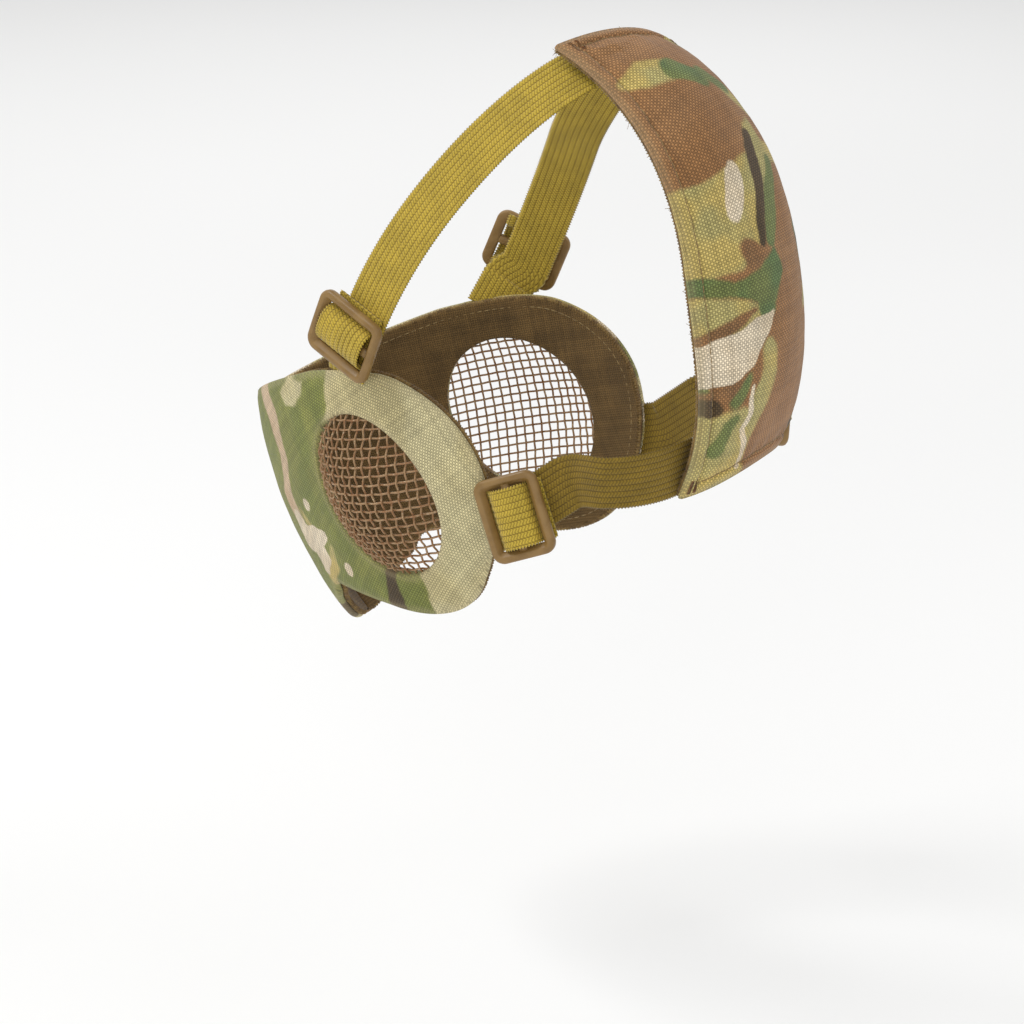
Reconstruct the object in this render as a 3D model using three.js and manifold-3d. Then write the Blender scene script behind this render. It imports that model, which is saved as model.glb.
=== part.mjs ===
// Lower face mask with a head harness: two fabric cheek panels joined at a front seam, a domed
// woven-wire window in each, and four elastic straps with sliders that run to a padded
// crown-to-nape panel. Millimetres, +Z up, the face looks along -Y, +X is the wearer's left.
// The origin is the centre of the head that wears it.
import * as THREE from 'three'
import { mergeVertices } from 'three/addons/utils/BufferGeometryUtils.js'
import Module from 'manifold-3d'

const wasm = await Module()
wasm.setup()

// ---------- driving dimensions ----------
const GAP = 0.3 // clearance kept between touching pieces
const HEAD = { halfWidth: 77, halfDepth: 99, halfHeight: 112, crownBulge: 0.035 }
const FACE = {
  top: -6, // height range of the face surface
  bottom: -136,
  ridgeFront: -116, // y of the front seam at the nose
  chinSetback: 42, // how far the seam runs back by the chin
  halfWidth: 68, // at the cheekbones
  chinNarrowing: 18,
  axisY: 5, // y of the centre of each horizontal section
  pinch: 1.45, // above 1 sharpens the front seam
  sweep: 104, // degrees from the seam round to the rear edge
}
const SHELL = { outer: 0, inner: -1.1 } // offsets from the face surface, outward positive
const FOAM = { outer: SHELL.inner - GAP, inner: -3.9 }
const LINING = { outer: FOAM.inner - GAP, inner: -5.1 }
const BINDING = { proud: 0.3, width: 1.6, seamGap: 0.9 } // seamGap: off the front seam, to fold
const WINDOW = { y: -31, z: -59, major: 34, minor: 26.5, lean: 44 } // lean: degrees, top forward
const CHIN = { bottom: -131, cheekLimit: -107.5 }
const DOME = { rise: 7.5, thickness: 0.9 }
const RIM = { width: 5, thickness: 1.2, sink: 0.5 }
const TAPE = { halfWidth: 3.6, thickness: 0.9, gap: 0.8, top: -53, bottom: -117 }
const STRAP = { width: 20, thickness: 1.2 }
const SLIDER = {
  length: 24.5, // along the strap
  width: 31,
  thickness: 3,
  corner: 4.5,
  bar: 3.6,
  centreBar: 3.6,
  slotWidth: 22.5,
  slotCorner: 1.2,
}
const SLIDER_STAND_OFF = 2.7 // room for the doubled webbing between a slider and its strap
const LOOP = { width: 19.6, halfLength: 6.9, height: 5.2, thickness: 1.2 }
const PAD = {
  narrowest: 75, // degrees up from the back of the head, where it has its front half width
  frontMiddle: 67.5,
  frontSlant: 5.5, // the front edge runs further forward on the wearer's left
  frontHollow: 1.5, // and its two corners lead its middle
  napeCorner: -27,
  napeMiddle: -22,
  widest: -10,
  napeTaper: 0.5, // how much narrower each side is at the nape corners
  frontHalfWidth: 25.5,
  fullHalfWidth: 41,
  meanHalfWidth: 36, // these two turn edge distances into shares of the pad
  halfLength: 86,
  edgeHeight: 4.4, // outer face above the head, at the edge
  crownHeight: 6.8, // and in the middle
  napeBulge: 0.28, // fuller head behind the ears
}
const PAD_COVER = 0.9
const PAD_FOAM = { scale: 0.9, depth: 1.7, inner: 2.4 } // depth: below the cover's outer face
const PAD_LINING = { outer: 1.9, inner: 1.1 }
const PAD_BINDING = 1.6

// ---------- colours ----------
function material(color, roughness = 0.9, metalness = 0) {
  return new THREE.MeshStandardMaterial({ color, roughness, metalness })
}
const camo = material(0x8a8450)
const lining = material(0x6e5430)
const foam = material(0x4a3c28)
const overlock = material(0x8a5f30)
const wire = material(0x9a7350, 0.5, 0.6)
const elastic = material(0x8a7a24)
const plastic = material(0x7a5a36, 0.45)
const padCamo = material(0x8c6a48)

// ---------- closed solids from grids of points ----------
const V = (x, y, z) => new THREE.Vector3(x, y, z)
const radians = THREE.MathUtils.degToRad
const steps = (n) => Array.from({ length: n + 1 }, (_, i) => i / n)

function fromTriangles(points, triangles) {
  const geometry = new THREE.BufferGeometry()
  const positions = points.flatMap((p) => p.toArray())
  geometry.setAttribute('position', new THREE.Float32BufferAttribute(positions, 3))
  geometry.setIndex(triangles)
  return outward(geometry)
}

function fromQuads(points, quads) {
  return fromTriangles(points, quads.flatMap(([a, b, c, d]) => [a, b, c, a, c, d]))
}

// Flips every face of a closed mesh whose signed volume is negative.
function outward(geometry) {
  const p = geometry.attributes.position
  const index = geometry.index.array
  let volume = 0
  for (let i = 0; i < index.length; i += 3) {
    const [a, b, c] = [0, 1, 2].map((k) => new THREE.Vector3().fromBufferAttribute(p, index[i + k]))
    volume += a.dot(b.cross(c))
  }
  if (volume < 0) {
    for (let i = 0; i < index.length; i += 3) [index[i], index[i + 1]] = [index[i + 1], index[i]]
  }
  return geometry
}

// A sheet between two faces: face(u, v, side) gives a point for side 0 (outer) and 1 (inner).
function sheet(columns, rows, face) {
  const points = []
  const at = (i, j, side) => (i * (rows + 1) + j) * 2 + side
  for (const u of steps(columns)) {
    for (const v of steps(rows)) points.push(face(u, v, 0), face(u, v, 1))
  }
  const quads = []
  for (let i = 0; i < columns; i++) {
    for (let j = 0; j < rows; j++) {
      quads.push([at(i, j, 0), at(i + 1, j, 0), at(i + 1, j + 1, 0), at(i, j + 1, 0)])
      quads.push([at(i, j, 1), at(i, j + 1, 1), at(i + 1, j + 1, 1), at(i + 1, j, 1)])
    }
    quads.push([at(i, 0, 0), at(i, 0, 1), at(i + 1, 0, 1), at(i + 1, 0, 0)])
    quads.push([at(i, rows, 0), at(i + 1, rows, 0), at(i + 1, rows, 1), at(i, rows, 1)])
  }
  for (let j = 0; j < rows; j++) {
    quads.push([at(0, j, 0), at(0, j + 1, 0), at(0, j + 1, 1), at(0, j, 1)])
    quads.push([at(columns, j, 0), at(columns, j, 1), at(columns, j + 1, 1), at(columns, j + 1, 0)])
  }
  return fromQuads(points, quads)
}

// A bar of section(i) corners swept along n stations, capped at both ends or closed on itself.
function swept(sections, closed) {
  const corners = sections[0].length
  const points = sections.flat()
  const quads = []
  const last = closed ? sections.length : sections.length - 1
  for (let i = 0; i < last; i++) {
    const next = (i + 1) % sections.length
    for (let k = 0; k < corners; k++) {
      const l = (k + 1) % corners
      quads.push([i * corners + k, next * corners + k, next * corners + l, i * corners + l])
    }
  }
  if (!closed) {
    const end = (sections.length - 1) * corners
    quads.push([0, 1, 2, 3])
    quads.push([end + 3, end + 2, end + 1, end])
  }
  return fromQuads(points, quads)
}

// ---------- joining and cutting ----------
function toSolid(geometry) {
  const bare = geometry.clone()
  bare.deleteAttribute('normal')
  bare.deleteAttribute('uv')
  const merged = mergeVertices(bare, 1e-4)
  const mesh = new wasm.Mesh({
    numProp: 3,
    vertProperties: Float32Array.from(merged.attributes.position.array),
    triVerts: Uint32Array.from(merged.index.array),
  })
  return new wasm.Manifold(mesh)
}

// The largest body of a solid, as a geometry.
function toGeometry(solid) {
  const bodies = solid.decompose().sort((a, b) => b.volume() - a.volume())
  const mesh = bodies[0].getMesh()
  const geometry = new THREE.BufferGeometry()
  geometry.setAttribute('position', new THREE.BufferAttribute(mesh.vertProperties, 3))
  geometry.setIndex(new THREE.BufferAttribute(mesh.triVerts, 1))
  return geometry
}

// A side-view outline (y to the right, z up) made solid from x = near to x = far.
function sidePrism(points, near, far) {
  const shape = new THREE.Shape(points)
  const geometry = new THREE.ExtrudeGeometry(shape, { depth: far - near, bevelEnabled: false })
  geometry.applyMatrix4(new THREE.Matrix4().makeBasis(V(0, 1, 0), V(0, 0, 1), V(1, 0, 0)))
  geometry.translate(near, 0, 0)
  return toSolid(geometry)
}

// A front-view outline (x to the right, z up) made solid through the whole depth of the face.
function frontPrism(points, depth) {
  const geometry = new THREE.ExtrudeGeometry(new THREE.Shape(points), { depth, bevelEnabled: false })
  geometry.applyMatrix4(new THREE.Matrix4().makeBasis(V(1, 0, 0), V(0, 0, 1), V(0, -1, 0)))
  geometry.translate(0, depth / 2, 0)
  return toSolid(geometry)
}

function mirrored(geometry) {
  const copy = geometry.clone()
  copy.scale(-1, 1, 1)
  return outward(copy)
}

// ---------- the face surface ----------
function ridgeY(z) {
  const t = THREE.MathUtils.clamp((-30 - z) / 100, 0, 1.1)
  return FACE.ridgeFront + FACE.chinSetback * t ** 2.2
}

function halfWidthAt(z) {
  const t = Math.max(0, (-35 - z) / 95)
  return FACE.halfWidth - FACE.chinNarrowing * t ** 1.6
}

function facePoint(angle, z) {
  const depth = FACE.axisY - ridgeY(z)
  const x = halfWidthAt(z) * Math.sin(angle) ** FACE.pinch
  return V(x, FACE.axisY - depth * Math.cos(angle), z)
}

function faceNormal(angle, z) {
  const a = Math.max(angle, 0.02)
  const h = 0.01
  const alongAngle = facePoint(a + h, z).sub(facePoint(a - h, z))
  const alongZ = facePoint(a, z + 1).sub(facePoint(a, z - 1))
  return alongAngle.cross(alongZ).normalize()
}

function offsetFace(angle, z, offset) {
  return facePoint(angle, z).addScaledVector(faceNormal(angle, z), offset)
}

// The same surface found from its side view.
function faceAt(y, z, offset) {
  const angle = Math.acos((FACE.axisY - y) / (FACE.axisY - ridgeY(z)))
  return offsetFace(angle, z, offset)
}

function faceLayer(outer, inner, columns = 14, rows = 11) {
  const face = (u, v, side) => {
    const z = THREE.MathUtils.lerp(FACE.top, FACE.bottom, v)
    return offsetFace(radians(FACE.sweep) * u ** 1.15, z, side === 0 ? outer : inner)
  }
  return toSolid(sheet(columns, rows, face))
}

// ---------- side-view outlines ----------
function panelOutline() {
  const shape = new THREE.Shape()
  shape.moveTo(-140, -50)
  shape.lineTo(-115, -47)
  shape.quadraticCurveTo(-103, -36, -64, -20)
  shape.quadraticCurveTo(-34, -11, -20, -14)
  shape.quadraticCurveTo(4, -20, 13, -38)
  shape.bezierCurveTo(20, -54, 19, -72, 13, -84)
  shape.bezierCurveTo(8, -100, -10, -104, -30, -103)
  shape.quadraticCurveTo(-50, -103, -62, -104)
  shape.lineTo(-66, -108)
  shape.lineTo(-66, -150)
  shape.lineTo(-140, -150)
  return shape.getPoints(5)
}

// The front-view outline (x to the right, z up) of the left half of the chin cup.
function chinOutline() {
  const shape = new THREE.Shape()
  shape.moveTo(-20, 20)
  shape.lineTo(-20, CHIN.bottom)
  shape.lineTo(0, CHIN.bottom)
  shape.quadraticCurveTo(10, CHIN.bottom, 18, -121)
  shape.lineTo(36, CHIN.cheekLimit)
  shape.lineTo(100, CHIN.cheekLimit)
  shape.lineTo(100, 20)
  return shape.getPoints(5)
}

// Moves every point of a closed outline outward by a distance.
function grown(points, distance) {
  const clockwise = THREE.ShapeUtils.isClockWise(points)
  return points.map((p, i) => {
    const before = points[(i + points.length - 1) % points.length]
    const after = points[(i + 1) % points.length]
    const a = p.clone().sub(before).normalize()
    const b = after.clone().sub(p).normalize()
    const along = a.clone().add(b).normalize()
    const out = clockwise ? new THREE.Vector2(-along.y, along.x) : new THREE.Vector2(along.y, -along.x)
    const miter = Math.max(0.5, Math.sqrt((1 + a.dot(b)) / 2))
    return p.clone().addScaledVector(out, distance / miter)
  })
}

// A point of the window ellipse, scaled about its centre, at a turn of 0 to 1.
function windowPoint(turn, majorRadius, minorRadius) {
  const theta = 2 * Math.PI * turn
  const lean = radians(90 + WINDOW.lean)
  const p = new THREE.Vector2(majorRadius * Math.cos(theta), minorRadius * Math.sin(theta))
  p.rotateAround(new THREE.Vector2(), lean)
  return p.add(new THREE.Vector2(WINDOW.y, WINDOW.z))
}

const windowOutline = (grow) =>
  steps(28).slice(0, -1).map((t) => windowPoint(t, WINDOW.major + grow, WINDOW.minor + grow))

// ---------- straps ----------
const frameOf = (at, along, out) => {
  const t = V(...along).normalize()
  const n = V(...out)
  n.addScaledVector(t, -n.dot(t)).normalize()
  return { p: V(...at), t, n }
}

// A round stretch of strap that bends about one centre, through the frame at s = 0.
function roundStretch(rest, radius) {
  const centre = rest.p.clone().addScaledVector(rest.n, -radius)
  const at = (s) => {
    const turn = s / radius
    const n = rest.n.clone().multiplyScalar(Math.cos(turn)).addScaledVector(rest.t, Math.sin(turn))
    const t = rest.t.clone().multiplyScalar(Math.cos(turn)).addScaledVector(rest.n, -Math.sin(turn))
    return { p: centre.clone().addScaledVector(n, radius), t, n }
  }
  const frames = (from, to, count) => steps(count).map((f) => at(from + (to - from) * f))
  return { at, frames, centre, axis: rest.n.clone().cross(rest.t) }
}

// A free stretch between two frames.
function freeStretch(from, to, count) {
  const reach = from.p.distanceTo(to.p) / 3
  const curve = new THREE.CubicBezierCurve3(
    from.p,
    from.p.clone().addScaledVector(from.t, reach),
    to.p.clone().addScaledVector(to.t, -reach),
    to.p,
  )
  const frames = steps(count).slice(1, -1).map((f) => {
    const t = curve.getTangent(f)
    const n = from.n.clone().lerp(to.n, f)
    n.addScaledVector(t, -n.dot(t)).normalize()
    return { p: curve.getPoint(f), t, n }
  })
  return frames
}

function ribbon(frames, width, thickness) {
  const sections = frames.map(({ p, t, n }) => {
    const across = new THREE.Vector3().crossVectors(n, t).multiplyScalar(width / 2)
    const up = n.clone().multiplyScalar(thickness / 2)
    const corner = (w, h) => p.clone().addScaledVector(across, w).addScaledVector(up, h)
    return [corner(-1, -1), corner(1, -1), corner(1, 1), corner(-1, 1)]
  })
  return swept(sections, false)
}

// The places where each slider rests on a left strap, and where each strap ends under the pad.
const cheekboneStretch = roundStretch(
  frameOf([67.4, -33, 2], [0.062, 0.377, 0.924], [0.967, -0.25, 0.038]),
  100,
)
const jawStretch = roundStretch(
  frameOf([63.5, 29.5, -56], [-0.177, 0.784, 0.596], [0.984, 0.146, 0.1]),
  130,
)
// Both straps come out of a cheek panel along these stretches, flat in its foam.
const cheekExit = roundStretch(
  frameOf([68, -36.5, 3], [0.28, 0.38, 0.88], [0.93, -0.35, -0.15]),
  100,
)
const jawExit = roundStretch(frameOf([64.4, 26, -57], [0, 0.9, 0.42], [0.98, 0.05, -0.14]), 130)
const napeStretch = roundStretch(
  frameOf([51.9, 75.5, -39], [-0.75, 0.64, 0.1], [0.65, 0.755, -0.1]),
  32,
)
const crownEnd = frameOf([13.7, 39.5, 100.1], [-0.84, 0.46, 0.15], [0.25, 0.43, 0.87])
const napeEnd = frameOf([26, 85.4, -37], [-0.96, 0.25, 0], [0.25, 0.96, -0.15])

const upperFrames = [
  ...cheekExit.frames(-27, -13, 4),
  ...freeStretch(cheekExit.at(-13), cheekboneStretch.at(-5), 4),
  ...cheekboneStretch.frames(-5, 58, 10),
  ...freeStretch(cheekboneStretch.at(58), crownEnd, 12),
  crownEnd,
]
const lowerFrames = [
  ...jawExit.frames(-20, -9, 3),
  ...freeStretch(jawExit.at(-9), jawStretch.at(-2), 4),
  ...jawStretch.frames(-2, 20, 4),
  ...freeStretch(jawStretch.at(20), napeStretch.at(-16), 6),
  ...napeStretch.frames(-16, 10, 7),
  ...freeStretch(napeStretch.at(10), napeEnd, 4),
  napeEnd,
]

// ---------- sliders ----------
// The outline of a rectangle with round corners, as points.
function roundedRectangle(length, width, radius, cornerSteps = 4) {
  const points = []
  for (let corner = 0; corner < 4; corner++) {
    const [sx, sy] = [[1, 1], [-1, 1], [-1, -1], [1, -1]][corner]
    const centre = new THREE.Vector2(sx * (length / 2 - radius), sy * (width / 2 - radius))
    for (const f of steps(cornerSteps)) {
      const turn = (Math.PI / 2) * (corner + f)
      const spoke = new THREE.Vector2(Math.cos(turn), Math.sin(turn)).multiplyScalar(radius)
      points.push(centre.clone().add(spoke))
    }
  }
  return points
}

function sliderGeometry() {
  const shape = new THREE.Shape(roundedRectangle(SLIDER.length, SLIDER.width, SLIDER.corner))
  const near = SLIDER.centreBar / 2
  const far = SLIDER.length / 2 - SLIDER.bar
  for (const side of [-1, 1]) {
    const slot = roundedRectangle(far - near, SLIDER.slotWidth, SLIDER.slotCorner, 2)
    for (const p of slot) p.x += side * (near + far) / 2
    shape.holes.push(new THREE.Path(slot))
  }
  const geometry = new THREE.ExtrudeGeometry(shape, { depth: SLIDER.thickness, bevelEnabled: false })
  return geometry.translate(0, 0, -SLIDER.thickness / 2)
}

// The webbing that comes up through one slot, over the centre bar and down the other.
function loopGeometry() {
  const floor = -SLIDER.thickness / 2
  const arch = (reach, height) => {
    const shoulder = floor + 0.64 * height
    const top = floor + height
    return [
      [reach, shoulder, reach * 0.6, top, 0, top],
      [-reach * 0.6, top, -reach, shoulder, -reach, floor],
    ]
  }
  const shape = new THREE.Shape()
  shape.moveTo(LOOP.halfLength, floor)
  for (const curve of arch(LOOP.halfLength, LOOP.height)) shape.bezierCurveTo(...curve)
  const innerReach = LOOP.halfLength - LOOP.thickness
  shape.lineTo(-innerReach, floor)
  for (const curve of arch(-innerReach, LOOP.height - LOOP.thickness)) shape.bezierCurveTo(...curve)
  shape.closePath()
  const geometry = new THREE.ExtrudeGeometry(shape, {
    depth: LOOP.width,
    bevelEnabled: false,
    curveSegments: 5,
  })
  geometry.translate(0, 0, -LOOP.width / 2)
  return geometry.rotateX(Math.PI / 2)
}

// ---------- head pad ----------
function padHalfWidth(t) {
  const past = t - PAD.widest
  const taper = PAD.fullHalfWidth - PAD.frontHalfWidth
  if (past > 0) return PAD.fullHalfWidth - taper * (past / (PAD.narrowest - PAD.widest)) ** 2
  return PAD.fullHalfWidth - PAD.napeTaper * (past / (PAD.napeCorner - PAD.widest)) ** 2
}

// A point over the back of the head: side and length run from -1 to 1 over the pad, and
// height is measured off the head.
function padPoint(side, length, height) {
  const front = PAD.frontMiddle + PAD.frontSlant * side + PAD.frontHollow * side * side
  const nape = THREE.MathUtils.lerp(PAD.napeMiddle, PAD.napeCorner, side * side)
  const t = THREE.MathUtils.lerp(nape, front, (length + 1) / 2)
  const x = side * padHalfWidth(t)
  const reach = x / HEAD.halfWidth
  const bulge = PAD.napeBulge * THREE.MathUtils.smoothstep(-t, -20, 20)
  const crown = HEAD.crownBulge * Math.sin(2 * radians(Math.max(0, t))) ** 2
  const level = Math.sqrt(1 - reach * reach) * (1 + bulge * reach * reach) * (1 + crown)
  const y = HEAD.halfDepth * level * Math.cos(radians(t))
  const z = HEAD.halfHeight * level * Math.sin(radians(t))
  const out = V(x / HEAD.halfWidth ** 2, y / HEAD.halfDepth ** 2, z / HEAD.halfHeight ** 2)
  return V(x, y, z).addScaledVector(out.normalize(), height)
}

function padTop(side, length) {
  const puff = (1 - side ** 4) * (1 - length ** 4)
  return THREE.MathUtils.lerp(PAD.edgeHeight, PAD.crownHeight, puff)
}

function padSheet(scale, outerHeight, innerHeight) {
  const face = (u, v, which) => {
    const side = (2 * u - 1) * scale
    const length = (2 * v - 1) * scale
    const height = which === 0 ? outerHeight : innerHeight
    return padPoint(side, length, height(side, length))
  }
  return sheet(8, 14, face)
}

function padBinding() {
  const run = (count, place) => steps(count).slice(0, -1).map((f) => place(2 * f - 1))
  const edge = [
    ...run(8, (f) => [f, -1]),
    ...run(14, (f) => [1, f]),
    ...run(8, (f) => [-f, 1]),
    ...run(14, (f) => [-1, -f]),
  ]
  const beyond = (side, length, reach, height) =>
    padPoint(side * (1 + reach / PAD.meanHalfWidth), length * (1 + reach / PAD.halfLength), height)
  const far = GAP + PAD_BINDING
  const sections = edge.map(([side, length]) => [
    beyond(side, length, GAP, PAD.edgeHeight),
    beyond(side, length, far, PAD.edgeHeight - 0.8),
    beyond(side, length, far, PAD_LINING.outer),
    beyond(side, length, GAP, PAD_LINING.outer - GAP),
  ])
  return swept(sections, true)
}

// ---------- wire window ----------
function domeSheet() {
  const major = WINDOW.major - GAP - 0.1
  const minor = WINDOW.minor - GAP - 0.1
  const rings = 4
  const around = 28
  const point = (ring, k, side) => {
    const r = ring / rings
    const p = windowPoint(k / around, major * r, minor * r)
    return faceAt(p.x, p.y, SHELL.outer - 0.2 + DOME.rise * (1 - r * r) - side * DOME.thickness)
  }
  const points = [point(0, 0, 0), point(0, 0, 1)]
  for (let ring = 1; ring <= rings; ring++) {
    for (let k = 0; k < around; k++) points.push(point(ring, k, 0), point(ring, k, 1))
  }
  const at = (ring, k, side) =>
    ring === 0 ? side : 2 + ((ring - 1) * around + (k % around)) * 2 + side
  const triangles = []
  for (let k = 0; k < around; k++) {
    triangles.push(0, at(1, k, 0), at(1, k + 1, 0))
    triangles.push(1, at(1, k + 1, 1), at(1, k, 1))
    for (let ring = 1; ring < rings; ring++) {
      triangles.push(at(ring, k, 0), at(ring + 1, k, 0), at(ring + 1, k + 1, 0))
      triangles.push(at(ring, k, 0), at(ring + 1, k + 1, 0), at(ring, k + 1, 0))
      triangles.push(at(ring, k, 1), at(ring + 1, k + 1, 1), at(ring + 1, k, 1))
      triangles.push(at(ring, k, 1), at(ring, k + 1, 1), at(ring + 1, k + 1, 1))
    }
    triangles.push(at(rings, k, 0), at(rings, k, 1), at(rings, k + 1, 1))
    triangles.push(at(rings, k, 0), at(rings, k + 1, 1), at(rings, k + 1, 0))
  }
  return fromTriangles(points, triangles)
}

function rimRing(grow = 0) {
  const top = FOAM.outer - RIM.sink + grow
  const bottom = FOAM.outer - RIM.sink - RIM.thickness - grow
  const outerWidth = RIM.width + grow
  const sections = steps(28).slice(0, -1).map((turn) => {
    const near = windowPoint(turn, WINDOW.major - grow, WINDOW.minor - grow)
    const far = windowPoint(turn, WINDOW.major + outerWidth, WINDOW.minor + outerWidth)
    return [
      faceAt(near.x, near.y, top),
      faceAt(far.x, far.y, top),
      faceAt(far.x, far.y, bottom),
      faceAt(near.x, near.y, bottom),
    ]
  })
  return swept(sections, true)
}

// ---------- seam tape inside the front seam ----------
// The y of the lining's inner face at a distance x from the middle.
function liningY(x, z) {
  let [low, high] = [0.02, 1]
  for (let i = 0; i < 30; i++) {
    const middle = (low + high) / 2
    if (offsetFace(middle, z, LINING.inner).x < x) low = middle
    else high = middle
  }
  return offsetFace(low, z, LINING.inner).y
}

function seamTape(grow = 0) {
  const face = (u, v, side) => {
    const x = (TAPE.halfWidth + grow) * (2 * u - 1)
    const z = THREE.MathUtils.lerp(TAPE.top + grow, TAPE.bottom - grow, v)
    const y = liningY(Math.abs(x), z) + TAPE.gap
    return V(x, side === 0 ? y - grow : y + TAPE.thickness + grow, z)
  }
  return sheet(4, 12, face)
}

// ---------- build the left side and mirror it ----------
const WINDOW_SPAN = [20, 100] // x range that a window is cut through
const panelRegion = (grow, near) => {
  const side = sidePrism(grown(panelOutline(), grow), near, WINDOW_SPAN[1])
  return side.intersect(frontPrism(grown(chinOutline(), grow), 4 * HEAD.halfWidth))
}
const panelPrism = panelRegion(0, GAP)
const windowPrism = sidePrism(windowOutline(0), ...WINDOW_SPAN)
const foamWindowPrism = sidePrism(windowOutline(RIM.width + GAP), ...WINDOW_SPAN)
const bindingPrism = panelRegion(GAP + BINDING.width, BINDING.seamGap).subtract(panelRegion(GAP, -GAP))

const strapRoom = (frames) => toSolid(ribbon(frames, STRAP.width + 2 * GAP, STRAP.thickness + 2 * GAP))
const straps = strapRoom(upperFrames).add(strapRoom(lowerFrames))

const tapeRoom = toSolid(seamTape(GAP))
const shellSolid = faceLayer(SHELL.outer, SHELL.inner).intersect(panelPrism).subtract(windowPrism)
const liningSolid = faceLayer(LINING.outer, LINING.inner)
  .intersect(panelPrism)
  .subtract(windowPrism)
  .subtract(tapeRoom)
const foamSolid = faceLayer(FOAM.outer, FOAM.inner)
  .intersect(panelPrism)
  .subtract(foamWindowPrism)
  .subtract(straps)
  .subtract(tapeRoom)
const bindingSolid = faceLayer(BINDING.proud, LINING.inner - BINDING.proud)
  .intersect(bindingPrism)
  .subtract(straps)
  .subtract(tapeRoom)
const shellRoom = faceLayer(SHELL.outer + GAP, SHELL.inner - GAP).intersect(panelPrism)
const liningRoom = faceLayer(LINING.outer + GAP, LINING.inner - GAP).intersect(panelPrism)
const rimRoom = toSolid(rimRing(GAP))
function strapGeometry(frames) {
  const strap = toSolid(ribbon(frames, STRAP.width, STRAP.thickness))
  return toGeometry(strap.subtract(shellRoom).subtract(liningRoom).subtract(rimRoom))
}

const object = new THREE.Group()
function addMesh(name, geometry, meshMaterial) {
  const mesh = new THREE.Mesh(geometry, meshMaterial)
  mesh.name = name
  object.add(mesh)
  return mesh
}
function addPair(name, geometry, meshMaterial) {
  addMesh(`${name}_left`, geometry, meshMaterial)
  addMesh(`${name}_right`, mirrored(geometry), meshMaterial)
}

addPair('shell', toGeometry(shellSolid), camo)
addPair('foam', toGeometry(foamSolid), foam)
addPair('lining', toGeometry(liningSolid), lining)
addPair('edge_binding', toGeometry(bindingSolid), overlock)
addPair('wire_mesh', domeSheet(), wire)
addPair('mesh_rim', rimRing(), wire)
addPair('strap_upper', strapGeometry(upperFrames), elastic)
addPair('strap_lower', strapGeometry(lowerFrames), elastic)
addMesh('seam_tape', seamTape(), lining)

const always = (height) => () => height
const belowTop = (depth) => (side, length) => padTop(side, length) - depth
addMesh('pad_cover', padSheet(1, padTop, belowTop(PAD_COVER)), padCamo)
addMesh('pad_foam', padSheet(PAD_FOAM.scale, belowTop(PAD_FOAM.depth), always(PAD_FOAM.inner)), foam)
addMesh('pad_lining', padSheet(1, always(PAD_LINING.outer), always(PAD_LINING.inner)), lining)
addMesh('pad_binding', padBinding(), overlock)

// Each slider stands on the outside of its strap. It may sit off the strap's middle line by a
// distance across it, and askew by some degrees.
function addSlider(name, rest, side, offMiddle = 0, askew = 0) {
  const mirror = V(side, 1, 1)
  const strapAcross = new THREE.Vector3().crossVectors(rest.n, rest.t).multiply(mirror)
  const out = rest.n.clone().multiply(mirror)
  const along = rest.t.clone().multiply(mirror).applyAxisAngle(out, radians(askew * side))
  const across = new THREE.Vector3().crossVectors(out, along)
  const placement = new THREE.Matrix4().makeBasis(along, across, out)
  const lift = STRAP.thickness / 2 + SLIDER_STAND_OFF + SLIDER.thickness / 2
  const position = rest.p.clone().multiply(mirror).addScaledVector(out, lift)
  position.addScaledVector(strapAcross, offMiddle)
  for (const [node, geometry, look] of [
    [`slider_${name}`, sliderGeometry(), plastic],
    [`strap_loop_${name}`, loopGeometry(), elastic],
  ]) {
    const mesh = addMesh(node, geometry, look)
    mesh.quaternion.setFromRotationMatrix(placement)
    mesh.position.copy(position)
  }
}
addSlider('upper_left', cheekboneStretch.at(0), 1, 2.5)
addSlider('upper_right', cheekboneStretch.at(0), -1, 2.5)
addSlider('lower_left', jawStretch.at(0), 1, 0, -17)
addSlider('lower_right', napeStretch.at(-4), -1)

export default object
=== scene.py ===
"""Fine surfaces, materials, light and camera for the camouflage face mask with its head harness.

Shapes are worked out in millimetres and written to Blender in metres.
"""
import math

import bpy
import bmesh
import numpy as np
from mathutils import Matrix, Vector, noise
from mathutils.geometry import delaunay_2d_cdt


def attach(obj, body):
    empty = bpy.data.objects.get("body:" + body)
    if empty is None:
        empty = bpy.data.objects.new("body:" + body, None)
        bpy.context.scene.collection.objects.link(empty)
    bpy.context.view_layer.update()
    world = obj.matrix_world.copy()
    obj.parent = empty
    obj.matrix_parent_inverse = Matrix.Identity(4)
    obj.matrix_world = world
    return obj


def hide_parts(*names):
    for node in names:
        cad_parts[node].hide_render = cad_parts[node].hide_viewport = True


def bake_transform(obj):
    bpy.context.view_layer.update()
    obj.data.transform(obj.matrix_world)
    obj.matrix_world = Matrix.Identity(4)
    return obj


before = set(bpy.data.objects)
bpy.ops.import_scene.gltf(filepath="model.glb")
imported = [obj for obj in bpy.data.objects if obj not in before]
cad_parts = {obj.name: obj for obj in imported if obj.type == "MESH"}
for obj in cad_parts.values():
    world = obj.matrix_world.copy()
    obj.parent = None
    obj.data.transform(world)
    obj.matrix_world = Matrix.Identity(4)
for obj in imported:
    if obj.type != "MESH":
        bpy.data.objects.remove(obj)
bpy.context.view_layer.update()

MM = 0.001

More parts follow.
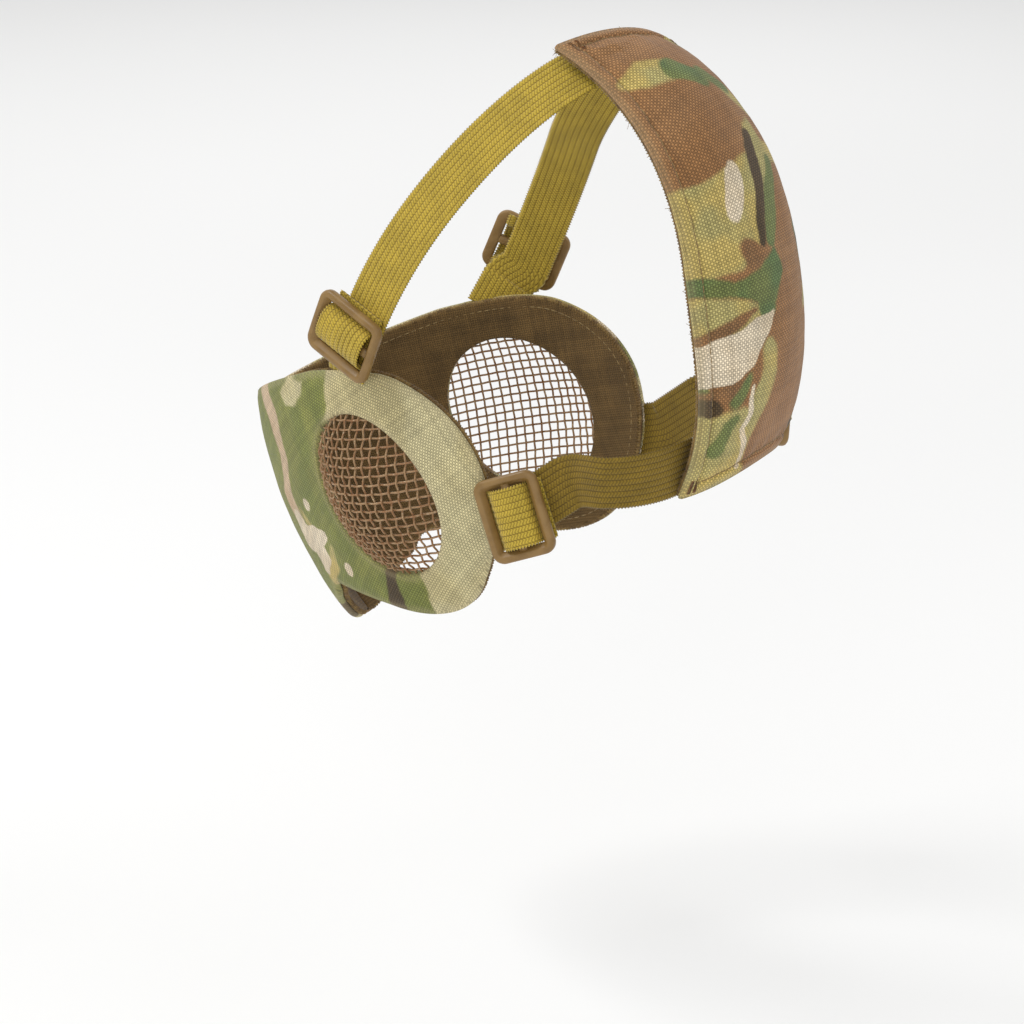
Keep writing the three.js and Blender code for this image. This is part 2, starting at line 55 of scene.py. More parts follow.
# ---------- camera: lengths in metres, but for the lens and the sensor ----------
DISTANCE, LENS, SENSOR = 1.3, 123.5, 36
AIM_BELOW, AIM_LEFT = 0.0744, 0.0052
scene = bpy.context.scene
scene.view_settings.view_transform = "Standard"
AZIMUTH, ELEVATION = math.radians(117), math.radians(15)
BACK = Vector((
    math.sin(AZIMUTH) * math.cos(ELEVATION),
    -math.cos(AZIMUTH) * math.cos(ELEVATION),
    math.sin(ELEVATION),
))
RIGHT = Vector((math.cos(AZIMUTH), math.sin(AZIMUTH), 0))
UP = BACK.cross(RIGHT)
camera = bpy.data.objects.new("camera", bpy.data.cameras.new("camera"))
scene.collection.objects.link(camera)
camera.location = BACK * DISTANCE
camera.rotation_mode = "QUATERNION"
camera.rotation_quaternion = (-UP * AIM_BELOW - RIGHT * AIM_LEFT - camera.location).to_track_quat("-Z", "Y")
camera.data.sensor_width, camera.data.lens = SENSOR, LENS
camera.data.clip_start, camera.data.clip_end = 0.05, 20
scene.camera = camera


# ---------- small vector helpers, on arrays of points ----------
def unit(v):
    return v / np.maximum(np.linalg.norm(v, axis=-1, keepdims=True), 1e-9)


def smoothstep(x, low, high):
    t = np.clip((x - low) / (high - low), 0, 1)
    return t * t * (3 - 2 * t)


def lerp(a, b, t):
    return a + (b - a) * t


def run_along(points):
    """The distance along a polyline at each of its points."""
    return np.concatenate([[0], np.cumsum(np.linalg.norm(np.diff(points, axis=0), axis=1))])


def read_at(at, run, values):
    """The rows of values that lie at distances along a run."""
    return np.stack([np.interp(at, run, column) for column in values.T], -1)


def resample(points, spacing):
    """Points about one spacing apart along an open polyline, its ends kept."""
    points = np.asarray(points, float)
    run = run_along(points)
    count = max(2, int(round(run[-1] / spacing)) + 1)
    return read_at(np.linspace(0, run[-1], count), run, points)


def bezier(points, count=24):
    """A quadratic or cubic Bezier curve through its first and last point."""
    t = np.linspace(0, 1, count)[:, None]
    p = np.asarray(points, float)
    if len(p) == 3:
        return (1 - t) ** 2 * p[0] + 2 * t * (1 - t) * p[1] + t**2 * p[2]
    return (1 - t) ** 3 * p[0] + 3 * t * (1 - t) ** 2 * p[1] + 3 * t**2 * (1 - t) * p[2] + t**3 * p[3]


def smooth_noise(points, scale, seed=0):
    """Perlin noise of each point, with bumps about one scale apart (millimetres)."""
    offset = Vector((seed * 17.3, seed * 7.9, seed * 3.1))
    return np.array([noise.noise(Vector(p) / scale + offset) for p in np.asarray(points, float)])


# ---------- meshes ----------
def build(name, vertices, faces, material, mirrored=False, attributes=None, cloth=None):
    """A mesh object from points in millimetres. mirrored flips it to the wearer's right.

    attributes are numbers and cloth is a vector for each point, for the shaders.
    """
    points = np.array(vertices, float).reshape(-1, 3)
    if mirrored:
        points[:, 0] *= -1
    mesh = bpy.data.meshes.new(name)
    mesh.from_pydata((points * MM).tolist(), [], faces)
    for key, values in (attributes or {}).items():
        mesh.attributes.new(key, "FLOAT", "POINT").data.foreach_set("value", np.asarray(values, np.float32))
    if cloth is not None:
        layer = mesh.attributes.new("cloth", "FLOAT_VECTOR", "POINT")
        layer.data.foreach_set("vector", np.asarray(cloth, np.float32).ravel())
    work = bmesh.new()
    work.from_mesh(mesh)
    bmesh.ops.recalc_face_normals(work, faces=work.faces)
    work.to_mesh(mesh)
    work.free()
    mesh.polygons.foreach_set("use_smooth", [True] * len(mesh.polygons))
    mesh.materials.append(material)
    mesh.validate()
    obj = bpy.data.objects.new(name, mesh)
    scene.collection.objects.link(obj)
    return obj


class Parts:
    """Gathers points and faces of many closed bodies into one mesh."""

    def __init__(self):
        self.points, self.faces, self.count = [], [], 0

    def add(self, points, faces):
        points = np.asarray(points, float).reshape(-1, 3)
        self.points.append(points)
        self.faces.extend([[i + self.count for i in face] for face in faces])
        self.count += len(points)

    def shape(self):
        return np.concatenate(self.points), self.faces


def bridge(before, here):
    """Quads between two closed rings of point numbers."""
    count = len(before)
    return [[before[i], here[i], here[(i + 1) % count], before[(i + 1) % count]] for i in range(count)]


def tube(path, ref, radius, sides, closed=False):
    """Points and faces of a thread along a path. ref points to the side that is up."""
    path = np.asarray(path, float)
    if closed:
        along = unit(np.roll(path, -1, 0) - np.roll(path, 1, 0))
    else:
        along = unit(np.gradient(path, axis=0))
    side = unit(np.cross(along, np.broadcast_to(ref, path.shape)))
    up = np.cross(side, along)
    radii = np.broadcast_to(radius, len(path))[:, None]
    rings = []
    for k in range(sides):
        turn = 2 * math.pi * k / sides
        rings.append(path + side * math.cos(turn) * radii + up * math.sin(turn) * radii)
    points = np.stack(rings, 1).reshape(-1, 3)
    faces = []
    n = len(path)
    for i in range(n if closed else n - 1):
        j = (i + 1) % n
        for k in range(sides):
            m = (k + 1) % sides
            faces.append([i * sides + k, i * sides + m, j * sides + m, j * sides + k])
    if not closed:
        points = np.concatenate([points, path[:1], path[-1:]])
        first, last = n * sides, n * sides + 1
        for k in range(sides):
            m = (k + 1) % sides
            faces.append([first, m, k])
            faces.append([last, (n - 1) * sides + k, (n - 1) * sides + m])
    return points, faces


def sweep(rings, closed):
    """Points and faces of closed rings in a row. rings has the shape (stations, corners, 3)."""
    stations, corners = rings.shape[:2]
    faces = []
    for i in range(stations if closed else stations - 1):
        j = (i + 1) % stations
        for k in range(corners):
            m = (k + 1) % corners
            faces.append([i * corners + k, i * corners + m, j * corners + m, j * corners + k])
    if not closed:
        faces.append(list(range(corners))[::-1])
        faces.append([(stations - 1) * corners + k for k in range(corners)])
    return rings.reshape(-1, 3), faces


# ---------- node materials ----------
class Nodes:
    """Builds a shader tree with short calls. Distances in the shaders are millimetres."""

    def __init__(self, name, roughness, metallic=0.0, specular=0.3, sheen=0.0):
        self.material = bpy.data.materials.new(name)
        self.material.use_nodes = True
        self.tree = self.material.node_tree
        self.shader = self.tree.nodes["Principled BSDF"]
        settings = {"Roughness": roughness, "Metallic": metallic, "Specular IOR Level": specular}
        if sheen:
            settings.update({"Sheen Weight": sheen, "Sheen Roughness": 0.5})
        for key, value in settings.items():
            self.shader.inputs[key].default_value = value
        texture = self.add("TexCoord")
        scale = self.add("VectorMath", texture.outputs["Object"], operation="SCALE")
        scale.inputs["Scale"].default_value = 1 / MM
        self.place = scale.outputs[0]

    def put(self, socket, value):
        if isinstance(value, bpy.types.NodeSocket):
            self.tree.links.new(value, socket)
        elif isinstance(value, tuple):
            socket.default_value = (*value, 1) if len(value) == 3 and len(socket.default_value) == 4 else value
        else:
            socket.default_value = value

    def add(self, kind, *inputs, **settings):
        """A new node with its settings, and with its first inputs in their order."""
        node = self.tree.nodes.new("ShaderNode" + kind)
        for key, value in settings.items():
            setattr(node, key, value)
        for socket, value in zip(node.inputs, inputs):
            self.put(socket, value)
        return node

    def math(self, operation, a, b=0.0):
        return self.add("Math", a, b, operation=operation).outputs[0]

    def times(self, a, b):
        return self.math("MULTIPLY", a, b)

    def plus(self, a, b):
        return self.math("ADD", a, b)

    def ramp(self, value, low, high, out_low=0.0, out_high=1.0):
        node = self.add("MapRange", value, low, high, out_low, out_high, interpolation_type="SMOOTHSTEP")
        return node.outputs[0]

    def mix(self, factor, a, b, blend="MIX"):
        node = self.add("Mix", factor, data_type="RGBA", blend_type=blend)
        self.put(node.inputs[6], a)
        self.put(node.inputs[7], b)
        return node.outputs[2]

    def cloudy(self, cloud, a, b):
        """Two colours that a noise blends."""
        return self.mix(self.ramp(cloud, 0.35, 0.65), a, b)

    def shaded(self, colour, light):
        """A colour made lighter or darker by a number."""
        return self.mix(1.0, colour, self.join(light, light, light), "MULTIPLY")

    def noise(self, size, detail=2.0):
        """Noise from 0 to 1 whose features are about size millimetres."""
        node = self.add("TexNoise", self.place)
        node.inputs["Scale"].default_value = 1 / size
        node.inputs["Detail"].default_value = detail
        return node.outputs["Fac"]

    def attribute(self, name, output="Fac"):
        return self.add("Attribute", attribute_name=name).outputs[output]

    def split(self, vector):
        return tuple(self.add("SeparateXYZ", vector).outputs)

    def join(self, x, y, z=0.0):
        return self.add("CombineXYZ", x, y, z).outputs[0]

    def random(self, vector):
        return self.add("TexWhiteNoise", vector).outputs["Value"]

    def bump(self, height, depth, strength=1.0, normal=None):
        node = self.add("Bump", strength, depth * MM)
        self.put(node.inputs["Height"], height)
        if normal is not None:
            self.put(node.inputs["Normal"], normal)
        return node.outputs[0]

    def finish(self, colour, normal=None, roughness=None):
        self.put(self.shader.inputs["Base Color"], colour)
        if normal is not None:
            self.put(self.shader.inputs["Normal"], normal)
        if roughness is not None:
            self.put(self.shader.inputs["Roughness"], roughness)
        return self.material


def plain_weave(n, pitch):
    """Height from 0 to 1 of a plain weave, its cell parity, and a value that differs thread by thread."""
    u, v, _ = n.split(n.attribute("cloth", "Vector"))
    cu, cv = n.math("DIVIDE", u, pitch), n.math("DIVIDE", v, pitch)
    su = n.math("SINE", n.times(cu, math.pi))
    sv = n.math("SINE", n.times(cv, math.pi))
    warp_up = n.ramp(n.times(su, sv), -0.25, 0.25)
    across_warp, across_weft = n.math("ABSOLUTE", su), n.math("ABSOLUTE", sv)
    warp = n.times(across_warp, n.ramp(across_weft, 0.0, 1.0, 0.55, 1.0))
    weft = n.times(across_weft, n.ramp(across_warp, 0.0, 1.0, 0.55, 1.0))
    weft_up = n.math("SUBTRACT", 1.0, warp_up)
    height = n.plus(n.times(warp, warp_up), n.times(weft, weft_up))
    per_warp = n.random(n.join(n.math("FLOOR", cu), 3.0))
    per_weft = n.random(n.join(n.math("FLOOR", cv), 8.0))
    thread = n.plus(n.times(per_warp, 0.5), n.times(per_weft, 0.5))
    return height, warp_up, thread


SAND = (0.565, 0.500, 0.280)
KHAKI = (0.520, 0.395, 0.120)
BROWN = (0.300, 0.145, 0.052)
GREEN = (0.185, 0.205, 0.042)
DEEP_GREEN = (0.110, 0.165, 0.055)
OLIVE = (0.228, 0.236, 0.052)
DARK = (0.070, 0.044, 0.016)
CREAM = (0.710, 0.580, 0.400)
PINK = (0.560, 0.390, 0.230)


def camouflage(name, base, base_change, layers):
    """Printed nylon cloth. Each layer is (attribute, colour, edge softness in mm, second colour)."""
    n = Nodes(name, roughness=0.78, specular=0.28, sheen=0.12)
    wobble = n.math("SUBTRACT", n.noise(2.4, 3.0), 0.5)
    broad = n.noise(26.0, 1.0)
    colour = n.mix(n.ramp(broad, 0.4, 0.62), base, base_change)
    for attribute, tint, soft, second in layers:
        edge = n.plus(n.attribute(attribute), n.times(wobble, 1.1))
        shade = n.mix(n.ramp(n.noise(15.0, 1.0), 0.36, 0.6), tint, second)
        colour = n.mix(n.ramp(edge, -soft, soft), colour, shade)
    height, warp_up, thread = plain_weave(n, NYLON_PITCH)
    # painted shade: the colour darkens in the weave's hollows between threads and on the weft floats, and
    # lightens on the warp floats; the per-thread and cloudy changes are the cloth's own tone
    light = n.times(n.ramp(height, 0.0, 0.9, 0.48, 1.12), n.ramp(warp_up, 0.0, 1.0, 0.76, 1.24))
    light = n.times(light, n.ramp(thread, 0.0, 1.0, 0.86, 1.14))
    light = n.times(light, n.ramp(n.noise(9.0, 3.0), 0.3, 0.7, 0.93, 1.07))
    colour = n.shaded(colour, light)
    worn = n.ramp(n.attribute("edge"), 0.0, 1.0, 0.0, 0.22)
    colour = n.mix(worn, colour, (0.50, 0.42, 0.25))
    normal = n.bump(height, 0.16, 0.8, n.bump(n.noise(5.0, 3.0), 0.25, 0.35))
    return n.finish(colour, normal, n.ramp(height, 0.0, 1.0, 0.92, 0.70))


def lining_cloth(tint):
    n = Nodes("brushed_lining", roughness=0.9, specular=0.2, sheen=0.25)
    height, _, thread = plain_weave(n, LINING_PITCH)
    # painted shade: the colour darkens in the weave's hollows between threads; the per-thread and cloudy
    # changes are the cloth's own tone
    light = n.times(n.ramp(height, 0.0, 0.9, 0.55, 1.1), n.ramp(thread, 0.0, 1.0, 0.85, 1.12))
    light = n.times(light, n.ramp(n.noise(12.0, 3.0), 0.3, 0.7, 0.8, 1.15))
    colour = n.shaded(tint, light)
    return n.finish(colour, n.bump(height, 0.2, 0.8), 0.9)


def thread_material(name, tint, second):
    n = Nodes(name, roughness=0.7, specular=0.35, sheen=0.2)
    colour = n.cloudy(n.noise(2.6), tint, second)
    fibre = n.noise(0.25, 2.0)
    light = n.ramp(fibre, 0.3, 0.7, 0.75, 1.15)
    colour = n.shaded(colour, light)
    return n.finish(colour, n.bump(fibre, 0.1, 0.7))


def elastic_material(name, tint, low):
    """Ribbed elastic webbing. The attribute "cloth" runs across (x) and along (y) the strap."""
    n = Nodes(name, roughness=0.72, specular=0.3, sheen=0.15)
    across, along, _ = n.split(n.attribute("cloth", "Vector"))
    rib = n.math("ABSOLUTE", n.math("SINE", n.times(across, math.pi / RIB)))
    lean = n.times(n.math("SINE", n.times(across, 2 * math.pi / RIB)), 0.35)
    knit = n.ramp(n.math("SINE", n.times(n.plus(along, lean), 2 * math.pi / KNIT)), -1.0, 1.0)
    height = n.times(n.ramp(rib, 0.05, 0.9), n.ramp(knit, 0.0, 1.0, 0.5, 1.0))
    # painted shade: the second colour, low, fills the grooves between the ribs and the gaps between the knit
    # stitches
    colour = n.mix(n.ramp(rib, 0.02, 0.42), low, tint)
    colour = n.mix(n.ramp(knit, 0.0, 0.8, 0.62, 0.0), colour, low)
    light = n.ramp(n.noise(7.0, 3.0), 0.3, 0.7, 0.9, 1.1)
    colour = n.shaded(colour, light)
    fleck = n.ramp(n.noise(0.5, 1.0), 0.56, 0.72, 0.0, 0.5)
    colour = n.mix(fleck, colour, tuple(c * 1.35 for c in tint))
    return n.finish(colour, n.bump(height, 0.22, 0.7))


def plastic_material():
    n = Nodes("moulded_plastic", roughness=0.42, specular=0.45)
    cloud = n.noise(6.0, 3.0)
    colour = n.cloudy(cloud, (0.215, 0.122, 0.034), (0.265, 0.156, 0.048))
    scuff = n.ramp(n.noise(0.9, 4.0), 0.62, 0.74, 0.0, 0.3)
    colour = n.mix(scuff, colour, (0.37, 0.25, 0.11))
    grain = n.noise(0.35, 2.0)
    return n.finish(colour, n.bump(grain, 0.03, 0.5), n.ramp(cloud, 0.3, 0.7, 0.36, 0.52))


def wire_material():
    n = Nodes("coated_steel_wire", roughness=0.42, metallic=0.25, specular=0.5)
    coat = n.cloudy(n.noise(3.0, 3.0), (0.270, 0.130, 0.050), (0.360, 0.225, 0.110))
    worn = n.ramp(n.noise(0.8, 3.0), 0.56, 0.70, 0.0, 0.7)
    colour = n.mix(worn, coat, (0.56, 0.42, 0.26))
    return n.finish(colour, n.bump(n.noise(0.3, 2.0), 0.04, 0.6))


def foam_material():
    n = Nodes("open_cell_foam", roughness=0.95, specular=0.15)
    cell = n.noise(0.9, 4.0)
    colour = n.cloudy(cell, (0.055, 0.040, 0.022), (0.110, 0.080, 0.045))
    return n.finish(colour, n.bump(cell, 0.4, 0.9))


NYLON_PITCH, LINING_PITCH = 0.80, 0.90  # mm between the threads of the two cloths
STRAP_WIDTH, STRAP_THICKNESS, RIB_COUNT = 20.0, 1.2, 9
RIB = STRAP_WIDTH / RIB_COUNT  # mm between the ribs of the elastic
KNIT = 1.15  # mm between its stitches
CAMO_LAYERS = [
    ("khaki", KHAKI, 1.2, (0.430, 0.370, 0.140)),
    ("green", GREEN, 0.9, OLIVE),
    ("brown", BROWN, 0.9, (0.240, 0.125, 0.050)),
    ("dark", DARK, 0.7, (0.085, 0.052, 0.022)),
    ("pink", PINK, 0.6, (0.600, 0.440, 0.280)),
    ("cream", CREAM, 0.4, (0.740, 0.630, 0.460)),
]
PAD_GREEN = ("green", DEEP_GREEN, 0.9, (0.170, 0.200, 0.060))
PAD_LAYERS = [PAD_GREEN if layer[0] == "green" else layer for layer in CAMO_LAYERS]
mask_cloth = camouflage("camo_nylon_mask", SAND, (0.535, 0.460, 0.235), CAMO_LAYERS)
pad_cloth = camouflage("camo_nylon_pad", BROWN, (0.325, 0.165, 0.065), PAD_LAYERS)
lining_fabric = lining_cloth((0.150, 0.088, 0.028))
foam_look = foam_material()
overlock_thread = thread_material("overlock_thread", (0.300, 0.190, 0.055), (0.165, 0.095, 0.030))
stitch_thread = thread_material("stitch_thread", (0.330, 0.225, 0.090), (0.230, 0.150, 0.060))
rust_thread = thread_material("rust_thread", (0.300, 0.120, 0.030), (0.360, 0.190, 0.070))
# the second colour of each webbing is its painted shade, in the grooves and between the stitches
elastic = elastic_material("elastic_webbing", (0.520, 0.370, 0.042), (0.170, 0.110, 0.010))
# painted shade: a darker copy of the same webbing for the lower straps, which lie in shade below the pad
elastic_shaded = elastic_material("elastic_webbing_painted_shade", (0.235, 0.150, 0.011), (0.085, 0.050, 0.004))
plastic = plastic_material()
wire = wire_material()


# ---------- printed pattern: signed distances in millimetres, positive inside ----------
NOWHERE = -50.0  # a distance that is outside everywhere
FARTHEST = 60.0  # distances are kept within this, and their edges stay where they are


def off_segment(p, a, b):
    """How far each point is from a straight segment, and its nearest place along it from 0 to 1."""
    t = np.clip(((p - a) @ (b - a)) / max((b - a) @ (b - a), 1e-12), 0, 1)
    return np.linalg.norm(p - (a + t[:, None] * (b - a)), axis=1), t


def distance_to_loop(p, loop):
    """How far each point is from a closed outline, on either side of it."""
    gap = np.full(len(p), 1e3)
    for a, b in zip(loop, np.roll(loop, -1, 0)):
        gap = np.minimum(gap, off_segment(p, a, b)[0])
    return gap


def within_loop(p, loop):
    """Which points lie inside a closed outline."""
    within = np.zeros(len(p), bool)
    for a, b in zip(loop, np.roll(loop, -1, 0)):
        crosses = (a[1] > p[:, 1]) != (b[1] > p[:, 1])
        slope = (b[0] - a[0]) / (b[1] - a[1] if abs(b[1] - a[1]) > 1e-9 else 1e-9)
        within ^= crosses & (p[:, 0] < a[0] + slope * (p[:, 1] - a[1]))
    return within


MM_PER_DEGREE = 1.85  # along the pad, up the back of the head


class Print:
    """Shapes drawn on a flat piece of cloth, whose second coordinate is stretched by tall."""

    def __init__(self, x, y, tall=1.0):
        self.flat = np.stack([x, y * tall], 1)
        self.tall = tall
        # the points are pushed about a little, so that printed edges wander
        size, amount = 9.0, 0.5
        x, y = x / size, y * tall / size
        dx = np.sin(2.1 * y + 0.7) + 0.6 * np.sin(4.3 * y + 1.9 * x)
        dy = np.sin(1.9 * x + 2.2) + 0.6 * np.sin(3.7 * x - 2.3 * y)
        self.p = self.flat + np.stack([dx, dy], 1) * amount

    def stroke(self, points, radii):
        """A stroke of changing half width along a polyline."""
        best = np.full(len(self.p), -1e3)
        points = np.array(points, float) * (1, self.tall)
        for a, b, low, high in zip(points, points[1:], radii, radii[1:]):
            gap, t = off_segment(self.p, a, b)
            best = np.maximum(best, lerp(low, high, t) - gap)
        return best

    def blob(self, centre, along, across, turn=0.0):
        """An ellipse with half sizes along and across, turned by degrees."""
        c, s = math.cos(math.radians(turn)), math.sin(math.radians(turn))
        d = self.p - np.array(centre, float) * (1, self.tall)
        x, y = (d[:, 0] * c + d[:, 1] * s) / along, (-d[:, 0] * s + d[:, 1] * c) / across
        return (1 - np.hypot(x, y)) * min(along, across)

    def outline(self, corners):
        """A polygon."""
        corners = np.array(corners, float) * (1, self.tall)
        gap = distance_to_loop(self.p, corners)
        return np.where(within_loop(self.p, corners), gap, -gap)

    def wild(self, seed, shift=0.0):
        """A pattern of long soft shapes for the sides that no drawing fixes."""
        places = np.stack([(self.flat[:, 0] + shift) * 0.55, self.flat[:, 1], np.zeros(len(self.flat))], 1)
        field = lambda size, k: smooth_noise(places, size, seed + k) * size
        return {
            "khaki": field(21, 1) - 0.6,
            "green": field(17, 2) - 2.6,
            "brown": field(15, 3) - 3.4,
            "dark": 1.7 - np.abs(field(19, 4)) - np.maximum(0, 1.2 - field(25, 5)) * 1.4,
            "pink": np.full(len(places), NOWHERE),
            "cream": field(13, 6) - 4.1,
        }


def most(*fields):
    return np.maximum.reduce(fields)


def mask_camo(cloth):
    """Left cheek panel, in its side view."""
    front = cloth.outline([
        (-140, 0), (-53, 0), (-54, -20), (-53, -30), (-56, -37), (-45, -44), (-35, -60), (-30, -80), (-14, -84),
        (-11, -92), (-7, -104), (-20, -120), (-140, -140),
    ])
    sand_patch = cloth.outline([(-85, -33), (-77, -24), (-66, -22), (-68, -30), (-73, -36), (-80, -37)])
    stripe = cloth.stroke(
        [(-101, -33), (-95, -39), (-90, -44), (-87, -50), (-84.5, -57), (-84.5, -66), (-85, -74), (-83, -79),
         (-79, -85)],
        [5.0, 4.4, 3.8, 3.4, 2.8, 2.5, 3.4, 3.8, 4.2],
    )
    blotch = most(
        cloth.stroke([(-80, -84), (-75, -91), (-68, -86.5), (-63, -84)], [3.8, 5.0, 4.2, 2.6]),
        cloth.stroke([(-70, -89), (-66, -95), (-66, -101)], [4.4, 4.2, 2.0]),
    )
    spots = most(cloth.blob((-71, -74), 2.3, 2.6), cloth.blob((-50, -95), 2.3, 3.2, 20),
                 cloth.blob((-75, -116), 4, 2.4, -35))
    dark = cloth.stroke([(-27, -84), (-27, -95), (-23, -112)], [2.0, 3.1, 4.4])
    chin_dark = cloth.stroke([(-76, -121), (-70, -124), (-64, -131)], [2.5, 4.0, 5.0])
    moss = most(cloth.stroke([(-59, -88), (-60, -96), (-64, -104)], [2.2, 4.4, 3.4]),
                cloth.stroke([(-77, -78), (-70, -85)], [1.6, 3.0]),
                cloth.stroke([(-93, -104), (-84, -112)], [2.0, 3.0]))
    return {
        "khaki": np.minimum(moss, 20),
        "green": np.minimum(front, -most(sand_patch, moss) + 1.0),
        "brown": cloth.blob((-104, -30), 7, 2.5, 20),
        "dark": most(dark, chin_dark),
        "pink": stripe,
        "cream": most(blotch, spots),
    }


def pad_camo(x, t):
    """Head pad: x across, t degrees up the back of the head."""
    cloth = Print(x, t, MM_PER_DEGREE)
    khaki = most(
        cloth.stroke([(27, 58.5), (19, 57), (11, 55)], [2.6, 5.2, 5.0]),
        cloth.stroke([(-9, 47), (-17, 42)], [3.0, 2.6]),
        cloth.outline([
            (50, 35.5), (33, 35), (22, 34), (12, 34.5), (4, 35), (-4, 40), (-10, 41), (-13, 36), (-27, 34),
            (-44, 33), (-44, 29), (-27, 31), (-12, 31.5), (4, 24), (12, 20), (22, 17), (30, 17), (50, 16),
        ]),
        cloth.outline([(50, 14.5), (38, 14), (27, 12.4), (17, 10), (14, 7.5), (24, 6.5), (50, 1)]),
        cloth.stroke([(13, 1), (12, -4), (18, -10), (20, -14)], [3.5, 4.5, 4.5, 3.0]),
        cloth.outline([(50, -8.5), (36, -9.5), (24, -8), (17, -10), (18, -16), (14, -24), (50, -30)]),
    )
    green = most(
        cloth.stroke([(8, 54.5), (0, 51)], [5.2, 4.0]),
        cloth.stroke([(-4, 52), (-10, 47.5)], [2.6, 3.0]),
        cloth.stroke([(-9, 32), (-1, 27), (6, 20)], [2.6, 4.0, 3.0]),
        cloth.outline([
            (50, 18.6), (38, 18), (26, 15.2), (15, 15.6), (5, 18.5), (2, 14), (9, 7.2), (16, 6.6), (17, 10),
            (26, 12.4), (39, 14.2), (50, 15),
        ]),
        cloth.blob((26, -5), 3.6, 6.8, 28),
        cloth.stroke([(27, -10), (31, -12), (34, -16.5)], [1.2, 2.4, 3.6]),
        cloth.stroke([(46, -3), (40, -5)], [3.2, 2.2]),
    )
    brown = most(
        cloth.blob((17, 18.5), 4.2, 6.0, -25),
        cloth.stroke([(50, 4), (36, 5.5), (27, 7.8), (18, 9)], [2.6, 2.6, 2.4, 0.8]),
        cloth.stroke([(44, -6.5), (33, -6), (24, -1)], [2.2, 2.8, 2.2]),
    )
    dark = most(
        cloth.stroke([(-3, 38), (0, 35.5), (4, 30), (7, 25), (11, 20)], [2.4, 3.2, 3.0, 2.6, 1.8]),
        cloth.blob((39, -8), 6.2, 3.3, 12),
    )
    cream = most(
        cloth.blob((17, 30), 4.4, 9.8, 22),
        cloth.outline([
            (50, 3.6), (35, 5), (27, 6.2), (18, 7.4), (9, 7.6), (13, 4), (18, 1.5), (21, -1), (27, -2.8),
            (36, -4.2), (50, -4),
        ]),
        cloth.stroke([(20, -5), (21, -10), (24, -12.5), (20, -16), (18, -21)], [0.8, 1.4, 1.2, 1.5, 1.4]),
    )
    pink = np.full(len(x), NOWHERE)
    drawn = {"khaki": khaki, "green": green, "brown": brown, "dark": dark, "pink": pink, "cream": cream}
    # behind the left half the drawing gives way to the wild pattern
    wild = cloth.wild(5)
    edge = smoothstep(-x + 5 * np.sin(t / 8) + 3 * np.sin(t / 3.1 + 1), 16.0, 30.0) * 60
    return {key: np.maximum(np.minimum(wild[key], edge - 30), drawn[key]) for key in drawn}


# ---------- the face surface, as in the frame ----------
AXIS_Y = 5.0
FACE_TOP, CHIN_FOOT = -6.0, -131.0


def ridge_y(z):
    return -116 + 42 * np.clip((-30 - z) / 100, 0, 1.1) ** 2.2


def half_width(z):
    return 68 - 18 * np.maximum(0, (-35 - z) / 95) ** 1.6


def face_point(angle, z):
    x = half_width(z) * np.sin(angle) ** 1.45
    return np.stack([x, AXIS_Y - (AXIS_Y - ridge_y(z)) * np.cos(angle), z], -1)


def face_normal(angle, z):
    a = np.maximum(angle, 0.02)
    around = face_point(a + 0.01, z) - face_point(a - 0.01, z)
    upward = face_point(a, z + 1) - face_point(a, z - 1)
    return unit(np.cross(around, upward))


def angle_at_side(y, z):
    """The angle of the point that has this place in the side view."""
    return np.arccos(np.clip((AXIS_Y - y) / (AXIS_Y - ridge_y(z)), -1, 1))


def angle_at_front(x, z):
    return np.arcsin(np.clip(x / half_width(z), 0, 1) ** (1 / 1.45))


def from_side_view(yz):
    """(angle, z) of points drawn in the side view."""
    return np.stack([angle_at_side(yz[:, 0], yz[:, 1]), yz[:, 1]], 1)


def from_front_view(xz):
    return np.stack([angle_at_front(xz[:, 0], xz[:, 1]), xz[:, 1]], 1)


def unrolled(angle, z):
    """Distance round the face from the seam, for angles and heights in matching arrays."""
    total = np.zeros_like(angle)
    steps = 40
    before = face_point(np.zeros_like(angle), z)
    for i in range(1, steps + 1):
        here = face_point(angle * (i / steps), z)
        total += np.linalg.norm(here - before, axis=-1)
        before = here
    return total


def laid_flat(loop):
    return np.stack([unrolled(loop[:, 0], loop[:, 1]), loop[:, 1]], 1)


# ---------- outline and window of a cheek panel ----------
SEAM_X = 0.35
WINDOW_CENTRE, WINDOW_MAJOR, WINDOW_MINOR, WINDOW_TURN = (-31.0, -59.0), 34.0, 26.5, math.radians(134)


def window_point(theta, grow):
    """Side-view point of the window ellipse, or of one that is larger all round."""
    a, b = (WINDOW_MAJOR + grow) * np.cos(theta), (WINDOW_MINOR + grow) * np.sin(theta)
    c, s = math.cos(WINDOW_TURN), math.sin(WINDOW_TURN)
    return np.stack([WINDOW_CENTRE[0] + a * c - b * s, WINDOW_CENTRE[1] + a * s + b * c], -1)


def window_share(y, z):
    """0 at the middle of the window, 1 at its edge."""
    c, s = math.cos(WINDOW_TURN), math.sin(WINDOW_TURN)
    dy, dz = y - WINDOW_CENTRE[0], z - WINDOW_CENTRE[1]
    return np.hypot((dy * c + dz * s) / WINDOW_MAJOR, (-dy * s + dz * c) / WINDOW_MINOR)


